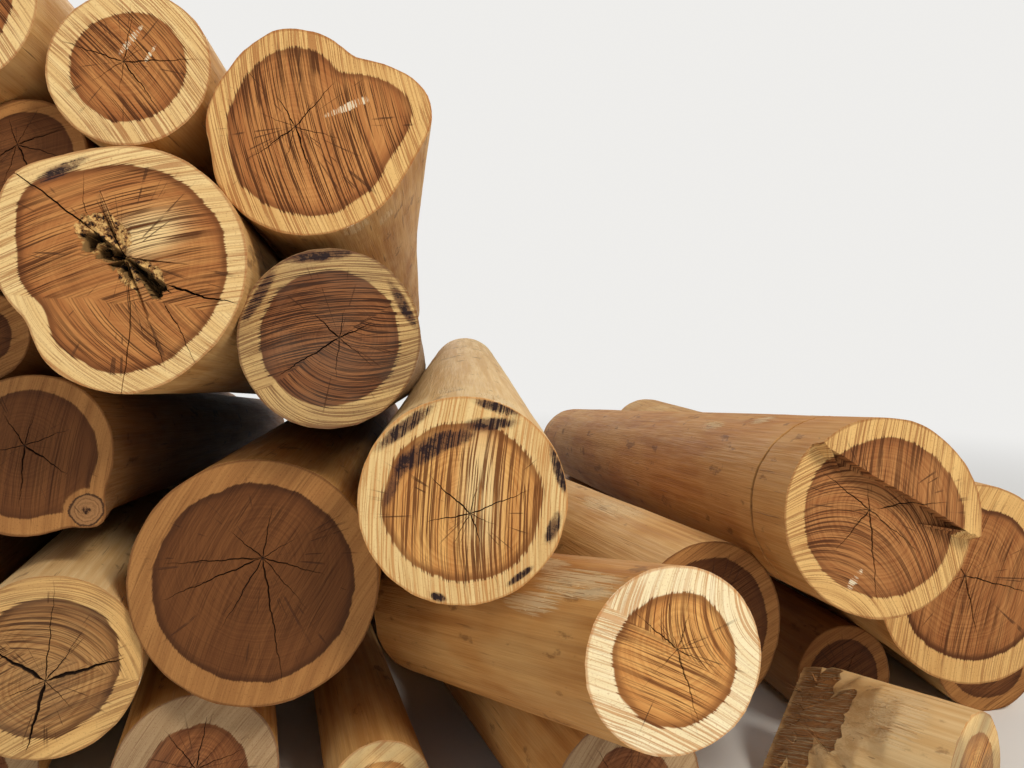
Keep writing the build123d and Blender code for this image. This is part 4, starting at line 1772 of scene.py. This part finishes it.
class LogHeap:
    """All logs: builds their meshes, dresses them and hands them to the frame."""

    FLUTES = {"Flute Width": 45 * MM, "Flute Length": 600 * MM}
    SLIVERS = {"Density": 7000.0, "Length": 36 * MM, "Thickness": 1.2 * MM, "Lift": 0.22}
    SHARP = 38

    def __init__(self) -> None:
        """Make the finishes and the trees."""
        effects = Effects()
        self.sawn = {name: finish.build(effects) for name, finish in SAWN.items()}
        self.sides = {name: finish.build(effects) for name, finish in SIDES.items()}
        self.splinter = SPLINTER.build(effects)
        self.relief = ReliefTree().tree
        self.splinters = SplinterTree().tree
        self.slots = {part["node"]: part["material_slot"] for part in frame["record"]["subparts"]}

    def dress(self, log: DebarkedLog) -> int:
        """Build one log with its splinters.

        Args:
            log: the log.

        Returns:
            Its number of triangles.
        """
        stem = Stem(log.node)
        obj = show(f"debarked_{log.node}", log.build_mesh(stem))
        finishes = {"Sawn Finish": self.sawn[log.sawn], "Side Finish": self.sides[log.side]}
        obj.data = run_tree(obj, self.relief, {**self.FLUTES, **finishes, "Flute Depth": log.swirl})
        smooth(obj, self.SHARP)
        pieces = [obj]
        if log.frayed_side or log.patches or log.ragged:
            values = {**self.SLIVERS, "Run": Vector(stem.run), "Seed": log.seed, "Finish": self.splinter}
            mesh = run_tree(obj, self.splinters, values)
            if len(mesh.polygons):
                mesh.name = f"splinters_{log.node}"
                pieces.append(show(f"splinters_{log.node}", mesh))
        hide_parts(log.node)
        total = 0
        for piece in pieces:
            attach(piece, "root")
            piece.data.calc_loop_triangles()
            total += len(piece.data.loop_triangles)
        return total


@dataclass
class Studio:
    """Floor, light and camera.

    Args:
        eye: where the camera stands.
        lens: its focal length in millimetres.
        drop: how far its picture is shifted.
        aim: what the lamps point at.
        floor_size: how far the floor reaches across.
        fade_start: how far from the middle the floor starts to fade.
        fade_end: where it has faded.
        ground: colour of the floor.
        pale: colour of the background.
        sky: colour of the soft light.
        sky_strength: its strength.
    """

    eye: tuple[float, float, float] = (0.516, -2.684, 0.820)
    lens: float = 31.18
    drop: float = -0.0625
    aim: tuple[float, float, float] = (0.2, -0.9, 0.6)
    floor_size: float = 60.0
    fade_start: float = 2.2
    fade_end: float = 5.6
    ground: Colour = (0.80, 0.79, 0.77)
    pale: Colour = (0.86, 0.85, 0.83)
    sky: Colour = (0.93, 0.96, 1.0)
    sky_strength: float = 0.38

    def build_floor(self) -> None:
        """Lay a pale floor that fades into the background far away."""
        half = self.floor_size / 2
        mesh = bpy.data.meshes.new("floor")
        corners = [(-half, -half, 0), (half, -half, 0), (half, half, 0), (-half, half, 0)]
        mesh.from_pydata(corners, [], [(0, 1, 2, 3)])
        floor = show("floor", mesh)
        material, sheet, shader = new_material("pale_floor")
        shader.inputs["Base Color"].default_value = (*self.ground, 1)
        shader.inputs["Roughness"].default_value = 0.9
        place = sheet.add("ShaderNodeTexCoord").outputs["Object"]
        faded = sheet.step(sheet.number("LENGTH", place), self.fade_start, self.fade_end)
        glow = sheet.add("ShaderNodeEmission", {"Color": (*self.pale, 1), "Strength": 1.0}).outputs[0]
        blend = sheet.add("ShaderNodeMixShader", {0: faded, 1: shader.outputs[0], 2: glow})
        sheet.tree.links.new(blend.outputs[0], sheet.tree.nodes["Material Output"].inputs["Surface"])
        mesh.materials.append(material)

    def build_world(self) -> None:
        """Give soft light all round and a pale background."""
        world = bpy.data.worlds.new("studio")
        bpy.context.scene.world = world
        world.use_nodes = True
        sheet = Sheet(world.node_tree)
        world.node_tree.nodes.clear()
        rays_seen = sheet.add("ShaderNodeLightPath").outputs
        seen = sheet.math("MAXIMUM", rays_seen["Is Camera Ray"], rays_seen["Is Glossy Ray"])
        seen = sheet.math("MAXIMUM", seen, rays_seen["Is Transmission Ray"])
        light = {"Color": (*self.sky, 1), "Strength": self.sky_strength}
        soft = sheet.add("ShaderNodeBackground", light).outputs[0]
        pale = sheet.add("ShaderNodeBackground", {"Color": (*self.pale, 1), "Strength": 1.0}).outputs[0]
        both = sheet.add("ShaderNodeMixShader", {0: seen, 1: soft, 2: pale}).outputs[0]
        sheet.add("ShaderNodeOutputWorld", {"Surface": both})

    def build_lights(self) -> None:
        """Hang a warm key light at the upper right, a weak one at the left and one behind."""
        for name, place, size, watts, colour in (
            ("key", (3.6, -4.6, 4.6), 1.6, 262.0, (1.0, 0.93, 0.82)),
            ("fill", (-4.5, -5.0, 2.6), 4.0, 60.0, (0.90, 0.95, 1.0)),
            ("back", (-2.0, 5.5, 4.5), 3.0, 160.0, (1.0, 0.97, 0.92)),
        ):
            lamp = bpy.data.lights.new(name, "AREA")
            lamp.size = size
            lamp.energy = watts
            lamp.color = colour
            holder = bpy.data.objects.new(name, lamp)
            holder.location = place
            way = Vector(self.aim) - Vector(place)
            holder.rotation_euler = way.to_track_quat("-Z", "Y").to_euler()
            bpy.context.scene.collection.objects.link(holder)

    def build_camera(self) -> None:
        """Stand the camera where the heap is seen level from, low and close."""
        camera = bpy.data.cameras.new("camera")
        camera.lens = self.lens
        camera.shift_y = self.drop
        camera.clip_start = 0.05
        holder = bpy.data.objects.new("camera", camera)
        holder.location = self.eye
        holder.rotation_euler = Euler((math.pi / 2, 0, 0))
        bpy.context.scene.collection.objects.link(holder)
        bpy.context.scene.camera = holder


def main() -> None:
    """Build the heap and the studio in order."""
    logging.basicConfig(level=logging.INFO, format="%(name)s: %(message)s")
    bpy.context.scene.view_settings.view_transform = "Standard"
    heap = LogHeap()
    total = 0
    for log in build_logs():
        count = heap.dress(log)
        total += count
        LOG.info("%s has %d triangles", log.node, count)
    LOG.info("the heap has %d triangles", total)
    studio = Studio()
    studio.build_floor()
    studio.build_world()
    studio.build_lights()
    studio.build_camera()


if __name__ == "__main__":
    main()
